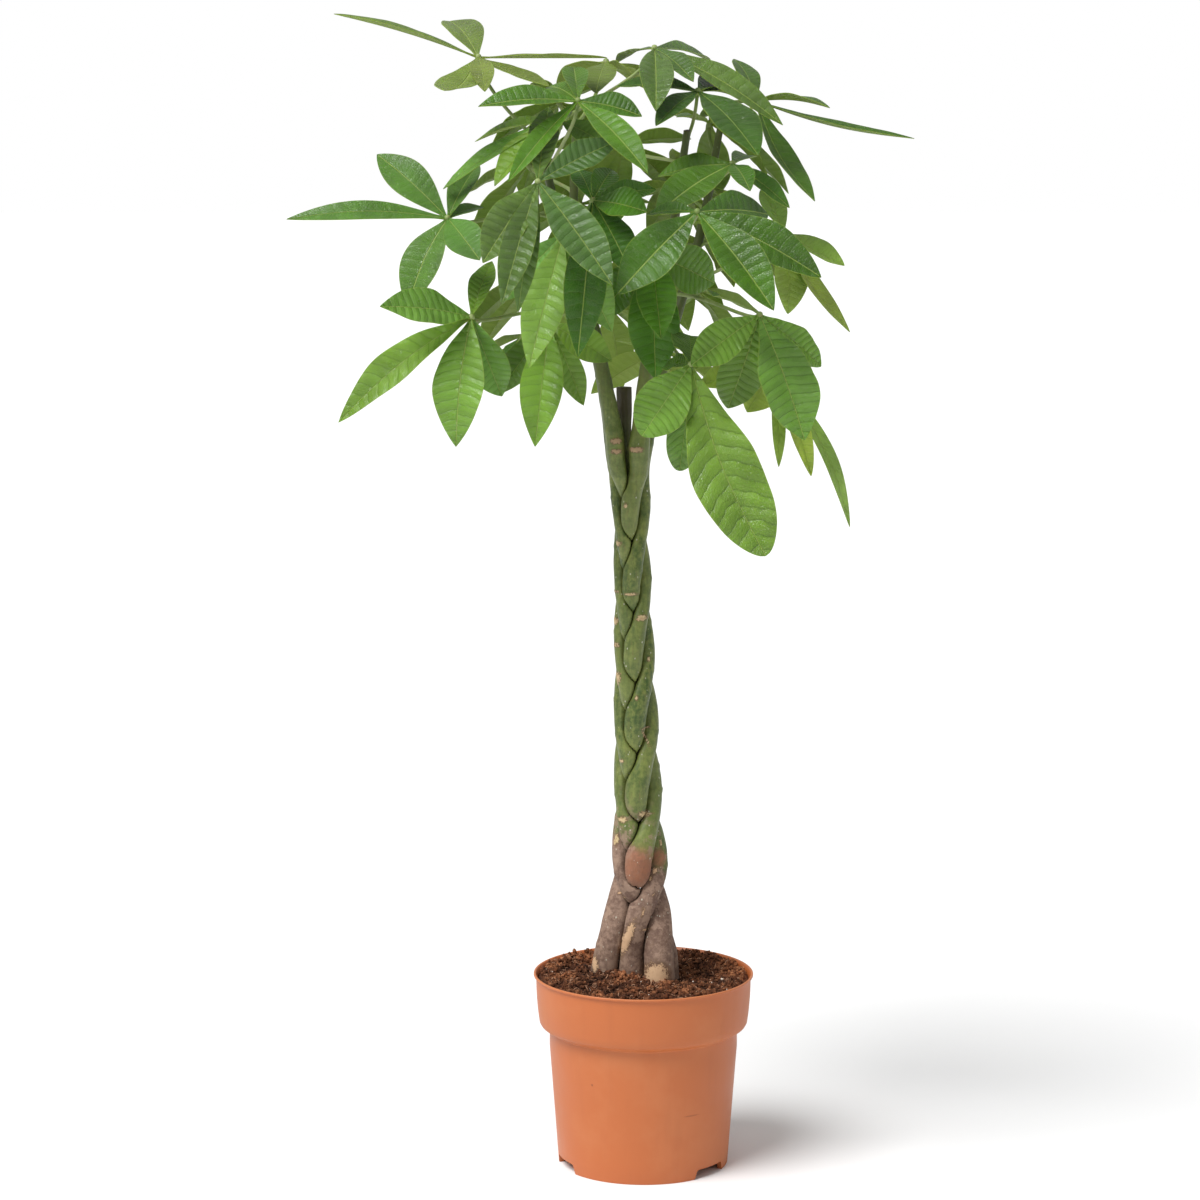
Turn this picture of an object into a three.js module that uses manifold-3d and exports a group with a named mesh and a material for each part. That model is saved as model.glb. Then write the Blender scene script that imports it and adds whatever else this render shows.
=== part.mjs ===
// A potted money tree: five stems braided into one trunk, palmate leaves on long stalks, soil, and a
// nursery pot with a deep collar and three ring feet. Millimetres, +Z up, -Y towards the viewer.
// The origin is the middle of the pot's underside, on the surface that the pot stands on.
import * as THREE from "three";
import { mergeVertices } from "three/addons/utils/BufferGeometryUtils.js";
import Module from "manifold-3d";

const wasm = await Module();
wasm.setup();

// ---------------------------------------------------------------------------------------------
// Driving dimensions
// ---------------------------------------------------------------------------------------------
const GAP = 0.3; // between two pieces that touch

const POT = {
  height: 212,
  rimRadius: 120, // over the lip
  lip: 4, // height of the lip
  collarRadius: 117.5, // just under the lip
  collarFootRadius: 113.6,
  collarFoot: 158, // height where the collar ends
  shoulder: 149, // height where the body's top meets the collar's chamfer
  bodyTopRadius: 104,
  baseRadius: 92.8,
  wall: 2.2,
  footWidth: 5, // of the ring that the pot stands on
  floorUnder: 11, // underside of the floor
  floor: 2.5, // its thickness
  padRadius: 30, // the middle of the floor is dished down to the ground
  feet: 3,
  notch: { arc: 31, height: 10.5, first: -38.5 }, // degrees, mm, degrees from +X of the first notch
  drain: { count: 6, radius: 6, ring: 62 },
  sides: 30, // of the pot and of the soil in it
};

const SOIL = {
  edge: 206, // level at the pot's wall
  heaps: [
    { rise: 10, x: -34, y: 0, spread: 34 },
    { rise: -12, x: 62, y: 20, spread: 22 },
    { rise: -8, x: -50, y: 56, spread: 18 },
  ],
  rings: [0, 30, 60, 88],
};

const BRAID = {
  strands: 5,
  pitch: 384, // height of one full turn of a strand
  rightmost: 638, // height at which the first strand lies at the end of its swing
  swing: 12, // from edge to edge of the braid
  linger: 0.11, // of the swing: how much longer a strand stays at either edge
  weave: 12, // across that, twice in each turn
  lag: 0.6, // radians that the weave trails the swing, so the strands slant long in front
  over: 2, // the strands from the right pass in front of those from the left
  turned: 15, // degrees that the flat of the braid is turned to the left
  gap: 2.8, // between two strands pressed together, at the heights where they are measured
  foot: [205, 330], // heights between which the strands spread to their roots
  head: [735, 790], // and to their shoots
  sides: 6,
  step: 27, // between two heights
  free: 860, // from this height on the shoots run free, with a longer step
  stride: 48,
};
const LEAN = { x: -3, at: 211, slope: -14 / 574 }; // the trunk's middle line leans to the left

// Where each strand stands in the soil, x and y.
const ROOTS = [
  [19, -12],
  [-12, -2],
  [-22, 32],
  [-41, 4],
  [31, 22],
];
const ROOT_END = 150;

// Where each strand's shoot goes above the braid: height, x, y.
const SHOOTS = [
  [
    [790, -29, -10],
    [893, -51, -12],
    [1000, -84, -22],
    [1125, -112, -36],
  ],
  [
    [790, -2, 15],
    [893, 24, 46],
    [1000, 58, 72],
    [1135, 84, 88],
  ],
  [
    [790, -6, -14],
    [893, 5, -12],
    [1000, 26, -28],
    [1125, 44, -30],
  ],
  [
    [790, -22, 9],
    [852, -22, 10],
  ],
  [
    [790, -31, 12],
    [893, -50, 40],
    [1000, -74, 76],
    [1135, -74, 100],
  ],
];
// Radius of a strand against height.
const GIRTH = [
  [150, 14.5],
  [215, 15.6],
  [350, 14.4],
  [400, 13.2],
  [500, 11.9],
  [600, 10.5],
  [690, 9.9],
  [760, 10.4],
  [792, 11.4],
  [812, 9.6],
  [885, 7.6],
  [1000, 5.2],
  [1135, 3.6],
];

// How far the strands swing and weave against height, of BRAID's swing and weave.
const SPREAD = [
  [310, 1.18],
  [350, 1.14],
  [400, 1],
  [500, 0.92],
  [600, 0.8],
  [690, 0.74],
  [790, 0.92],
];

const STALK = {
  foot: 3.4, // radius where it leaves the shoot
  middle: 1.9,
  stations: [0, 0.15, 0.5, 0.88],
  knuckle: [4.2, 3.2], // radii before and behind the point where the leaflets meet
  reach: 3.6, // of the knuckle, before and behind that point
  rise: 0.28, // of its length, upwards and out of the shoot
  bow: 11, // one step sideways, to clear what is in the way
};

const BLADE = {
  stations: [0.2, 0.4, 0.6, 0.82],
  neck: { at: 8, half: 1.8, thick: 2.2 }, // where the blade leaves the knuckle
  thickness: 1.7, // at the midrib
  arch: 0.05, // rise of the midrib over its chord, of the length
  fold: 16, // degrees that each half rises from the midrib
  wave: 0.055, // of the width
  waves: 2.6, // along the edge
  bend: 6, // degrees in one step that a leaflet bends to stay clear
  clear: 0.6, // added all round a leaflet while its place is sought
  shared: 60, // mm3 that a leaflet may share with its own stalk and its neighbours at the knuckle
};

const COLOUR = {
  pot: 0xc9794b,
  soil: 0x3a2a20,
  bark: 0x66704a,
  leaf: 0x3f7a2c,
  youngLeaf: 0x7fae35,
};

// Leaves that face the viewer. Shoot and height of the stalk's foot; knuckle; the way the leaf
// faces; then for each leaflet the place of its tip and its width, and if they differ from the rule
// its arch and how far its middle sways sideways, of the length.
const LEAVES = [
  { shoot: 0, from: 1112, hub: [-175, -20, 1200], face: [0, -10, 100], tips: [
    [-325, -30, 1245, 32, 0.02], [-210, 100, 1240, 44], [-205, -150, 1166, 50, -0.08],
    [-40, -10, 1200, 34, 0], [-100, -90, 1170, 30, -0.02], [-165, -120, 1165, 26]] },
  { shoot: 0, from: 1080, hub: [-70, -140, 1155], face: [0, -60, 80], tips: [
    [-170, -170, 1150, 40], [-75, -40, 1190, 30], [-100, -70, 1170, 34],
    [-5, -150, 1140, 36], [0, -230, 1085, 36], [-140, -190, 1075, 24]] },
  { shoot: 0, from: 1000, hub: [-110, -190, 1075], face: [0, -90, 50], tips: [
    [-110, -130, 1150, 32], [-165, -210, 995, 46], [-145, -240, 955, 36],
    [-130, -200, 945, 26], [-35, -250, 975, 48], [-30, -150, 1115, 34]] },
  { shoot: 0, from: 1030, hub: [-205, -90, 1035], face: [-20, -80, 60], tips: [
    [-280, -50, 1100, 42, 0.08], [-370, -110, 1035, 26, 0.08], [-245, -130, 945, 46, 0.1],
    [-170, -150, 995, 40], [-175, -30, 1090, 32], [-170, -40, 1045, 20]] },
  { shoot: 0, from: 930, hub: [-180, -120, 935], face: [-20, -85, 50], tips: [
    [-270, -185, 950, 46], [-315, -160, 830, 40, 0.09], [-195, -160, 805, 56, 0.09],
    [-160, -70, 990, 28], [-150, -80, 850, 46]] },
  { shoot: 0, from: 960, hub: [-55, -150, 1055], face: [10, -80, 60], young: true, tips: [
    [0, -190, 1045, 40], [-15, -190, 980, 40], [-70, -200, 900, 46],
    [-35, -90, 1085, 30], [-70, -90, 1085, 28], [10, -100, 1065, 28]] },
  { shoot: 2, from: 1000, hub: [50, -190, 1045], face: [10, -80, 60], tips: [
    [-30, -230, 965, 52], [125, -250, 950, 52], [175, -200, 980, 48],
    [125, -120, 1040, 44], [0, -130, 1040, 24]] },
  { shoot: 2, from: 1050, hub: [90, -60, 1090], face: [0, -60, 80], tips: [
    [0, -130, 1045, 46], [20, -20, 1090, 40], [150, -60, 1045, 26],
    [105, -150, 1065, 26], [115, 40, 1095, 24]] },
  { shoot: 0, from: 1120, hub: [10, 20, 1210], face: [10, -50, 85], tips: [
    [10, -90, 1145, 40], [145, -10, 1130, 42], [75, 120, 1195, 30],
    [50, -40, 1175, 30], [-30, 100, 1195, 24]] },
  { shoot: 1, from: 1125, hub: [120, 60, 1155], face: [20, -10, 95], tips: [
    [193, -30, 1148, 30, 0.04], [290, 60, 1115, 26, -0.04], [180, 0, 1050, 46, -0.07],
    [100, 150, 1200, 30], [60, 120, 1135, 34]] },
  { shoot: 1, from: 955, hub: [150, 40, 1015], face: [30, -40, 80], tips: [
    [215, 40, 980, 40, -0.03], [220, 20, 910, 34, -0.06], [125, 60, 1060, 34], [155, 30, 928, 50]] },
  { shoot: 2, from: 905, hub: [45, -170, 890], face: [10, -90, 40], young: true, tips: [
    [-5, -200, 820, 56], [120, -220, 700, 76, 0, 0.04], [20, -120, 885, 24],
    [35, -110, 775, 40], [45, -110, 915, 44]] },
  { shoot: 2, from: 945, hub: [115, -160, 940], face: [20, -90, 40], tips: [
    [160, -190, 815, 62], [45, -180, 890, 44], [180, -130, 885, 34], [85, -110, 840, 50]] },
  { shoot: 1, from: 900, hub: [140, 40, 865], face: [20, -60, 60], tips: [
    [145, 20, 765, 16], [225, 60, 695, 22, 0.1], [180, 20, 755, 28],
    [110, 10, 825, 44], [60, 60, 850, 40]] },
  { shoot: 0, from: 975, hub: [-85, -100, 1020], face: [-5, -95, 30], tips: [
    [-120, -150, 885, 46], [-150, -110, 950, 36], [-35, -120, 920, 44],
    [-5, -60, 1000, 36]] },
  { shoot: 0, from: 890, hub: [-100, -60, 925], face: [0, -95, 30], tips: [
    [-115, -110, 800, 48, 0.09], [-155, -60, 850, 36], [-65, -20, 835, 30],
    [-35, -60, 885, 36]] },
  { shoot: 2, from: 965, hub: [5, -100, 1000], face: [0, -90, 40], tips: [
    [15, -150, 915, 44], [10, -110, 870, 56], [-50, -90, 930, 44],
    [66, -60, 950, 52], [70, -20, 985, 44]] },
  { shoot: 0, from: 1095, hub: [-89, -70, 1135], face: [-20, -40, 90], tips: [
    [-210, -80, 1065, 28], [-162, -100, 1071, 40], [-170, -10, 1122, 30],
    [-50, -110, 1095, 34], [-80, -120, 1130, 24]] },
  { shoot: 2, from: 1118, hub: [55, -20, 1165], face: [10, -40, 90], tips: [
    [115, -100, 1100, 56], [10, -90, 1130, 30], [105, 60, 1155, 26],
    [90, 60, 1175, 36], [-30, 0, 1170, 44]] },
  { shoot: 4, from: 1128, hub: [-41, 60, 1196], face: [0, 30, 90], tips: [
    [-3, 20, 1171, 34], [-52, 0, 1163, 38], [20, 110, 1160, 34], [-95, 120, 1170, 34]] },
];

// The rest of the crown, behind and inside, follows a rule: leaf upon leaf up the two back shoots,
// each turned by the golden section of the arc that they fill.
const BACK = {
  count: 13,
  shoots: [1, 4],
  lowest: 870, // knuckles
  highest: 1165,
  from: [868, 1126], // stalks' feet
  arc: [12, 168], // degrees, from +X through +Y
  reach: [95, 190], // of the knuckle from the crown's middle line
  middle: [-25, 30],
  flatten: 0.72, // of the arc, sideways
  fingers: 6,
  length: 138,
  slender: 0.36, // width of a leaflet over its length
  droop: 0.5,
};
const SQUARE = 1.15; // a four-sided stalk is this much larger, corner to middle, than a round one
const GOLDEN = 0.618034;
const SECOND = 0.414214;

// ---------------------------------------------------------------------------------------------
// Solids
// ---------------------------------------------------------------------------------------------
const vec = (x, y, z) => new THREE.Vector3(x, y, z);
const mix = (a, b, t) => a + (b - a) * t;
const smooth = (lo, hi, v) => THREE.MathUtils.smoothstep(v, lo, hi);
const unit = (v) => v.clone().normalize();
const radians = THREE.MathUtils.degToRad;

// The value at x on a line through the points [x, value].
function along(points, x, column = 1) {
  const i = Math.max(1, points.findIndex((p) => p[0] >= x));
  const above = points[i];
  const below = points[i - 1];
  if (x > points[points.length - 1][0]) return points[points.length - 1][column];
  const t = Math.max(0, (x - below[0]) / (above[0] - below[0]));
  return mix(below[column], above[column], t);
}

// The value at x on a smooth curve through the same points.
function curved(points, x, column) {
  const last = points.length - 1;
  const i = Math.min(last - 1, Math.max(0, points.findIndex((p) => p[0] > x) - 1));
  const from = x >= points[last][0] ? last - 1 : i;
  const [a, b] = [points[from], points[from + 1]];
  const slope = (j) => {
    const lo = points[Math.max(0, j - 1)];
    const hi = points[Math.min(last, j + 1)];
    return (hi[column] - lo[column]) / (hi[0] - lo[0]);
  };
  const span = b[0] - a[0];
  const t = Math.min(1, Math.max(0, (x - a[0]) / span));
  const t2 = t * t;
  const t3 = t2 * t;
  return (
    (2 * t3 - 3 * t2 + 1) * a[column] +
    (t3 - 2 * t2 + t) * span * slope(from) +
    (3 * t2 - 2 * t3) * b[column] +
    (t3 - t2) * span * slope(from + 1)
  );
}

// A closed skin over rings of points, each ring counter-clockwise as seen from the last ring's side.
// A ring of one point is a tip. Diagonals alternate, so the two faces of a blade are split alike.
function skin(rings) {
  const vertices = rings.flat();
  const starts = [];
  rings.reduce((sum, ring) => (starts.push(sum), sum + ring.length), 0);
  const faces = [];
  const cap = (start, count, up) => {
    for (let j = 1; j < count - 1; j++) {
      faces.push(up ? [start, start + j, start + j + 1] : [start, start + j + 1, start + j]);
    }
  };
  for (let i = 0; i < rings.length - 1; i++) {
    const count = Math.max(rings[i].length, rings[i + 1].length);
    const low = (j) => starts[i] + (rings[i].length === 1 ? 0 : j % count);
    const high = (j) => starts[i + 1] + (rings[i + 1].length === 1 ? 0 : j % count);
    for (let j = 0; j < count; j++) {
      const [a, b, c, d] = [low(j), low(j + 1), high(j + 1), high(j)];
      const quad = j % 2 ? [[a, b, d], [b, c, d]] : [[a, b, c], [a, c, d]];
      faces.push(...quad.filter((f) => new Set(f).size === 3));
    }
  }
  cap(starts[0], rings[0].length, false);
  cap(starts[rings.length - 1], rings[rings.length - 1].length, true);
  return new wasm.Manifold(
    new wasm.Mesh({
      numProp: 3,
      vertProperties: new Float32Array(vertices.flatMap((v) => [v.x, v.y, v.z])),
      triVerts: new Uint32Array(faces.flat()),
    }),
  );
}

// A three.js geometry as a solid.
function solid(geometry) {
  const bare = geometry.index ? geometry.toNonIndexed() : geometry.clone();
  bare.deleteAttribute("normal");
  bare.deleteAttribute("uv");
  const merged = mergeVertices(bare, 1e-3);
  return new wasm.Manifold(
    new wasm.Mesh({
      numProp: 3,
      vertProperties: merged.attributes.position.array,
      triVerts: new Uint32Array(merged.index.array),
    }),
  );
}

// A solid less each of the others.
const cut = (made, others) => others.reduce((rest, other) => rest.subtract(other), made);

// The largest body of a solid: a stalk's end may stand out on the far side of the shoot that cuts it.
function largest(made) {
  return made.decompose().sort((a, b) => b.volume() - a.volume())[0];
}

// A solid as a named mesh with its colour.
function piece(name, made, color, roughness = 0.6) {
  const mesh = made.getMesh();
  const geometry = new THREE.BufferGeometry();
  geometry.setAttribute("position", new THREE.BufferAttribute(new Float32Array(mesh.vertProperties), 3));
  geometry.setIndex(new THREE.BufferAttribute(new Uint32Array(mesh.triVerts), 1));
  geometry.computeVertexNormals();
  const material = new THREE.MeshStandardMaterial({ color, roughness, metalness: 0 });
  const result = new THREE.Mesh(geometry, material);
  result.name = name;
  return result;
}

// A lathe about Z. The profile runs with the material on its left, as [radius, height] pairs.
function turned(profile, sides) {
  const points = profile.map(([r, z]) => new THREE.Vector2(r, z));
  return new THREE.LatheGeometry(points, sides).rotateX(Math.PI / 2);
}

// ---------------------------------------------------------------------------------------------
// Pot
// ---------------------------------------------------------------------------------------------
const FLOOR_TOP = POT.floorUnder + POT.floor;
const GROUND = 2; // how far a notch's cutter reaches below the foot
const outerRadius = (z) => mix(POT.baseRadius, POT.bodyTopRadius, z / POT.shoulder);

function makePot() {
  const w = POT.wall;
  const inside = (r) => r - w;
  const shell = solid(
    turned(
      [
        [0, 0],
        [POT.padRadius, 0],
        [POT.padRadius + 4, POT.floorUnder],
        [POT.baseRadius - POT.footWidth, POT.floorUnder],
        [POT.baseRadius - POT.footWidth, 0],
        [POT.baseRadius, 0],
        [POT.bodyTopRadius, POT.shoulder],
        [POT.collarFootRadius, POT.collarFoot],
        [POT.collarRadius, POT.height - POT.lip],
        [POT.rimRadius, POT.height - POT.lip],
        [POT.rimRadius, POT.height],
        [inside(POT.rimRadius), POT.height],
        [inside(POT.collarRadius), POT.height - POT.lip - w],
        [inside(POT.collarFootRadius), POT.collarFoot + w],
        [inside(POT.bodyTopRadius), POT.shoulder + w],
        [inside(outerRadius(FLOOR_TOP)), FLOOR_TOP],
        [POT.padRadius + 3, FLOOR_TOP],
        [POT.padRadius - 1, POT.floor],
        [0, POT.floor],
      ],
      POT.sides,
    ),
  );
  const { arc, height, first } = POT.notch;
  const reach = POT.baseRadius + 10;
  let pot = shell;
  for (let i = 0; i < POT.feet; i++) {
    const middle = radians(first + (360 / POT.feet) * i);
    const half = radians(arc / 2);
    const wedge = new THREE.Shape();
    const inner = POT.baseRadius - POT.footWidth - 3;
    wedge.absarc(0, 0, reach, middle - half, middle + half, false);
    wedge.absarc(0, 0, inner, middle + half, middle - half, true);
    const settings = { depth: height + GROUND, bevelEnabled: false, curveSegments: 4 };
    const cutter = new THREE.ExtrudeGeometry(wedge, settings);
    pot = pot.subtract(solid(cutter.translate(0, 0, -GROUND)));
  }
  const { count, radius, ring } = POT.drain;
  for (let i = 0; i < count; i++) {
    const a = ((i + 0.5) / count) * 2 * Math.PI;
    const hole = new THREE.CylinderGeometry(radius, radius, 20, 8).rotateX(Math.PI / 2);
    hole.translate(ring * Math.cos(a), ring * Math.sin(a), FLOOR_TOP);
    pot = pot.subtract(solid(hole));
  }
  return pot;
}

// ---------------------------------------------------------------------------------------------
// Stems
// ---------------------------------------------------------------------------------------------
const stemTop = (k) => SHOOTS[k][SHOOTS[k].length - 1][0];

// The middle of strand k at height z.
function stemCentre(k, z) {
  const turn = Math.PI / 2 + (2 * Math.PI * (BRAID.rightmost - z)) / BRAID.pitch;
  const angle = turn + (2 * Math.PI * k) / BRAID.strands;
  const wide = along(SPREAD, z);
  const flat = new THREE.Vector2(
    wide * BRAID.swing * (Math.sin(angle) - BRAID.linger * Math.sin(3 * angle)),
    wide * (BRAID.weave * Math.sin(2 * angle - BRAID.lag) + BRAID.over * Math.cos(angle)),
  );
  flat.rotateAround(new THREE.Vector2(), -radians(BRAID.turned));
  let x = LEAN.x + LEAN.slope * (z - LEAN.at) + flat.x;
  let y = flat.y;
  const up = smooth(...BRAID.head, z);
  x = mix(x, curved(SHOOTS[k], z, 1), up);
  y = mix(y, curved(SHOOTS[k], z, 2), up);
  const down = 1 - smooth(...BRAID.foot, z);
  return new THREE.Vector2(mix(x, ROOTS[k][0], down), mix(y, ROOTS[k][1], down));
}

// The outline of strand k at height z: round, and flattened where it presses on its neighbours.
function stemRing(k, z, grow) {
  const centre = stemCentre(k, z);
  const radius = along(GIRTH, z);
  const ring = [];
  for (let j = 0; j < BRAID.sides; j++) {
    const a = (2 * Math.PI * j) / BRAID.sides;
    const out = new THREE.Vector2(Math.cos(a), Math.sin(a));
    let reach = radius;
    for (let other = 0; other < BRAID.strands; other++) {
      if (other === k || z > stemTop(other)) continue;
      const way = stemCentre(other, z).sub(centre);
      const share = way.length() / 2 - BRAID.gap / 2;
      const facing = out.dot(way.normalize());
      if (facing > 0.05) reach = Math.min(reach, share / facing);
    }
    ring.push(vec(centre.x + out.x * (reach + grow), centre.y + out.y * (reach + grow), z));
  }
  return ring;
}

function makeStem(k, grow = 0) {
  const top = stemTop(k);
  const heights = [];
  for (let z = ROOT_END; z < BRAID.free; z += BRAID.step) heights.push(z);
  for (let z = BRAID.free; z < top; z += BRAID.stride) heights.push(z);
  const kept = heights.filter((z) => z < top - BRAID.step / 2);
  const rings = kept.map((z) => stemRing(k, z, grow));
  rings[0] = rings[0].map((p) => p.clone().setZ(ROOT_END - grow));
  rings.push(stemRing(k, top, grow).map((p) => p.setZ(top + grow)));
  return skin(rings);
}

// ---------------------------------------------------------------------------------------------
// Soil
// ---------------------------------------------------------------------------------------------
function soilLevel(x, y) {
  const bump = (at) => Math.exp(-((x - at.x) ** 2 + (y - at.y) ** 2) / (2 * at.spread ** 2));
  return SOIL.heaps.reduce((level, heap) => level + heap.rise * bump(heap), SOIL.edge);
}

function makeSoil(stems) {
  const w = POT.wall + GAP;
  const levels = [
    [outerRadius(FLOOR_TOP) - w - 0.4, FLOOR_TOP + GAP],
    [POT.bodyTopRadius - w, POT.shoulder + POT.wall],
    [POT.collarFootRadius - w, POT.collarFoot + POT.wall + 0.5],
  ];
  const slope = (POT.collarRadius - POT.collarFootRadius) / (POT.height - POT.lip - POT.collarFoot);
  const brim = POT.collarFootRadius - w + slope * (SOIL.edge - POT.collarFoot) * 0.9;
  const dish = [
    [0, POT.floor + GAP],
    [POT.padRadius - 1 - GAP, POT.floor + GAP],
    [POT.padRadius + 3 - GAP, FLOOR_TOP + GAP],
  ];
  const outline = [...dish, ...levels, [brim, SOIL.edge]];
  const top = [...SOIL.rings].reverse().map((r) => [r, SOIL.edge]);
  const ground = turned([...outline, ...top], POT.sides);
  const p = ground.attributes.position;
  for (let i = 0; i < p.count; i++) {
    if (Math.abs(p.getZ(i) - SOIL.edge) > 1e-3) continue;
    const r = Math.hypot(p.getX(i), p.getY(i));
    if (r < brim - 1) p.setZ(i, soilLevel(p.getX(i), p.getY(i)));
  }
  return cut(solid(ground), stems);
}

// ---------------------------------------------------------------------------------------------
// Leaves
// ---------------------------------------------------------------------------------------------
// The steps by which a stalk or a leaflet may give way, the smallest first: two numbers each.
const STEPS = [[0, 0]];
for (let ring = 1; ring <= 6; ring++) {
  for (let i = 0; i < 8; i++) {
    const a = (i * Math.PI) / 4;
    STEPS.push([ring * Math.cos(a), ring * Math.sin(a)]);
  }
}

// Two directions across a way.
function across(way) {
  const upright = Math.abs(way.z) > 0.9 ? vec(1, 0, 0) : vec(0, 0, 1);
  const side = unit(new THREE.Vector3().crossVectors(way, upright));
  return [side, unit(new THREE.Vector3().crossVectors(side, way))];
}

// The stalk's middle line, from the shoot's middle to the knuckle.
function stalkLine(leaf, step) {
  const foot2 = stemCentre(leaf.shoot, leaf.from);
  const foot = vec(foot2.x, foot2.y, leaf.from);
  const hub = vec(...leaf.hub);
  const way = hub.clone().sub(foot);
  const length = way.length();
  const outward = unit(vec(way.x, way.y, 0)).multiplyScalar(0.8).add(vec(0, 0, 0.6));
  const [side, over] = across(unit(way));
  const shift = side.multiplyScalar(step[0] * STALK.bow).add(over.multiplyScalar(step[1] * STALK.bow));
  const first = foot.clone().addScaledVector(unit(outward), STALK.rise * length).add(shift);
  const second = hub.clone().addScaledVector(unit(vec(...leaf.face)), -0.22 * length).add(shift);
  return new THREE.CubicBezierCurve3(foot, first, second, hub);
}

function makeStalk(leaf, step, grow = 0) {
  const line = stalkLine(leaf, step);
  const ring = (centre, way, radius) => {
    const [side, over] = across(way);
    const r = (radius + grow) * SQUARE;
    const corner = (a, b) => centre.clone().addScaledVector(side, -r * a).addScaledVector(over, r * b);
    return [corner(1, 0), corner(0, 1), corner(-1, 0), corner(0, -1)];
  };
  const radius = (i) => (i < 2 ? STALK.foot : STALK.middle);
  const rings = STALK.stations.map((t, i) => ring(line.getPoint(t), line.getTangent(t), radius(i)));
  const way = line.getTangent(1);
  const [before, behind] = STALK.knuckle;
  rings.push(ring(line.getPoint(1).addScaledVector(way, -STALK.reach), way, before));
  rings.push(ring(line.getPoint(1).addScaledVector(way, STALK.reach), way, behind));
  return skin(rings);
}

// Half the width of a leaflet at t along it, of its greatest half width.
const outline = (t) => Math.pow(Math.sin(Math.PI * Math.pow(t, 1.25)), 0.75);

// One leaflet: a folded, arched and waved blade from the knuckle to its tip, bent by a step.
function bladeFrame(leaf, tip, step) {
  const hub = vec(...leaf.hub);
  const chord = vec(tip[0], tip[1], tip[2]).sub(hub);
  const length = chord.length();
  let way = chord.normalize();
  const face = unit(vec(...leaf.face));
  const top = face.clone().addScaledVector(way, -face.dot(way));
  if (top.lengthSq() < 0.04) top.copy(across(way)[1]);
  top.normalize();
  const side = new THREE.Vector3().crossVectors(way, top);
  way.applyAxisAngle(top, radians(step[0] * BLADE.bend));
  side.applyAxisAngle(top, radians(step[0] * BLADE.bend));
  way.applyAxisAngle(side, radians(step[1] * BLADE.bend));
  top.applyAxisAngle(side, radians(step[1] * BLADE.bend));
  return { hub, way, top, side, length, width: tip[3], arch: tip[4] ?? BLADE.arch, sway: tip[5] ?? 0 };
}

function bladePoint(frame, t, reach, lift) {
  const { hub, way, top, side, length, arch, sway } = frame;
  const hump = length * Math.sin(Math.PI * t);
  return hub
    .clone()
    .addScaledVector(way, length * t)
    .addScaledVector(top, arch * hump + lift)
    .addScaledVector(side, sway * hump + reach);
}

function makeBlade(leaf, tip, step, grow = 0) {
  const frame = bladeFrame(leaf, tip, step);
  const phase = (tip[0] + 2 * tip[2]) * 0.1;
  const ring = (t, half, thick, fold, wave) => {
    const edge = (sign) =>
      bladePoint(frame, t, sign * half * Math.cos(fold), half * Math.sin(fold) + wave(sign));
    return [edge(1), bladePoint(frame, t, 0, -thick), edge(-1), bladePoint(frame, t, 0, thick)];
  };
  const rings = [[bladePoint(frame, 0, 0, 0)]];
  const { at, half, thick } = BLADE.neck;
  rings.push(ring(at / frame.length, half + grow, thick / 2 + grow, 0, () => 0));
  for (const t of BLADE.stations) {
    const turn = 2 * Math.PI * BLADE.waves * t + phase;
    const wave = (sign) => frame.width * BLADE.wave * Math.sin(turn + sign);
    const wide = (frame.width / 2) * outline(t) + grow;
    rings.push(ring(t, wide, BLADE.thickness / 2 + grow, radians(BLADE.fold), wave));
  }
  rings.push([bladePoint(frame, 1 + grow / frame.length, 0, 0)]);
  return skin(rings);
}

// The leaves of the rule, in the same form as the ones above.
function backLeaf(i) {
  const part = (i * GOLDEN + 0.3) % 1;
  const angle = radians(mix(...BACK.arc, part));
  const height = mix(BACK.lowest, BACK.highest, (i + 0.5) / BACK.count);
  const full = Math.sin(Math.PI * mix(0.25, 0.85, (i + 0.5) / BACK.count));
  const reach = mix(...BACK.reach, ((i * SECOND) % 1) * 0.6 + 0.4 * full);
  const out = vec(Math.cos(angle) * BACK.flatten, Math.sin(angle), 0);
  const hub = [BACK.middle[0] + out.x * reach, BACK.middle[1] + out.y * reach, height];
  const face = unit(vec(out.x * 0.7, out.y * 0.7, 0.75));
  const forward = unit(vec(out.x, out.y, 0).addScaledVector(face, -out.dot(face)));
  const sideways = new THREE.Vector3().crossVectors(face, forward);
  const tips = [];
  for (let j = 0; j < BACK.fingers; j++) {
    const turn = (2 * Math.PI * (j + 0.25 * Math.sin(i * 2.1 + j))) / BACK.fingers;
    const way = forward
      .clone()
      .multiplyScalar(Math.cos(turn))
      .addScaledVector(sideways, Math.sin(turn))
      .add(vec(0, 0, -BACK.droop * (0.6 + 0.4 * Math.sin(i + 3 * j))));
    const uneven = 0.9 + 0.14 * Math.sin(i * 1.7 + j * 2.3);
    const length = BACK.length * uneven * (0.72 + 0.28 * Math.cos(turn));
    const tip = vec(...hub).addScaledVector(unit(way), length);
    tips.push([tip.x, tip.y, tip.z, length * BACK.slender]);
  }
  const shoot = BACK.shoots[hub[0] > BACK.middle[0] ? 0 : 1];
  return { shoot, from: mix(...BACK.from, (i + 0.5) / BACK.count), hub, face: face.toArray(), tips };
}

// What has been placed, each with its box, so that only near neighbours are compared.
const placed = [];
const note = (made, owner) => placed.push({ made, owner, box: made.boundingBox() });

// Whether a solid meets what has been placed; it may share so much of its volume with its own piece.
function meets(made, own, allowed) {
  const { min, max } = made.boundingBox();
  return placed.some((other) => {
    const apart = [0, 1, 2].some((i) => other.box.min[i] > max[i] || other.box.max[i] < min[i]);
    if (apart) return false;
    const limit = other.owner === own ? allowed : 0;
    return made.intersect(other.made).volume() > limit;
  });
}

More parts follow.
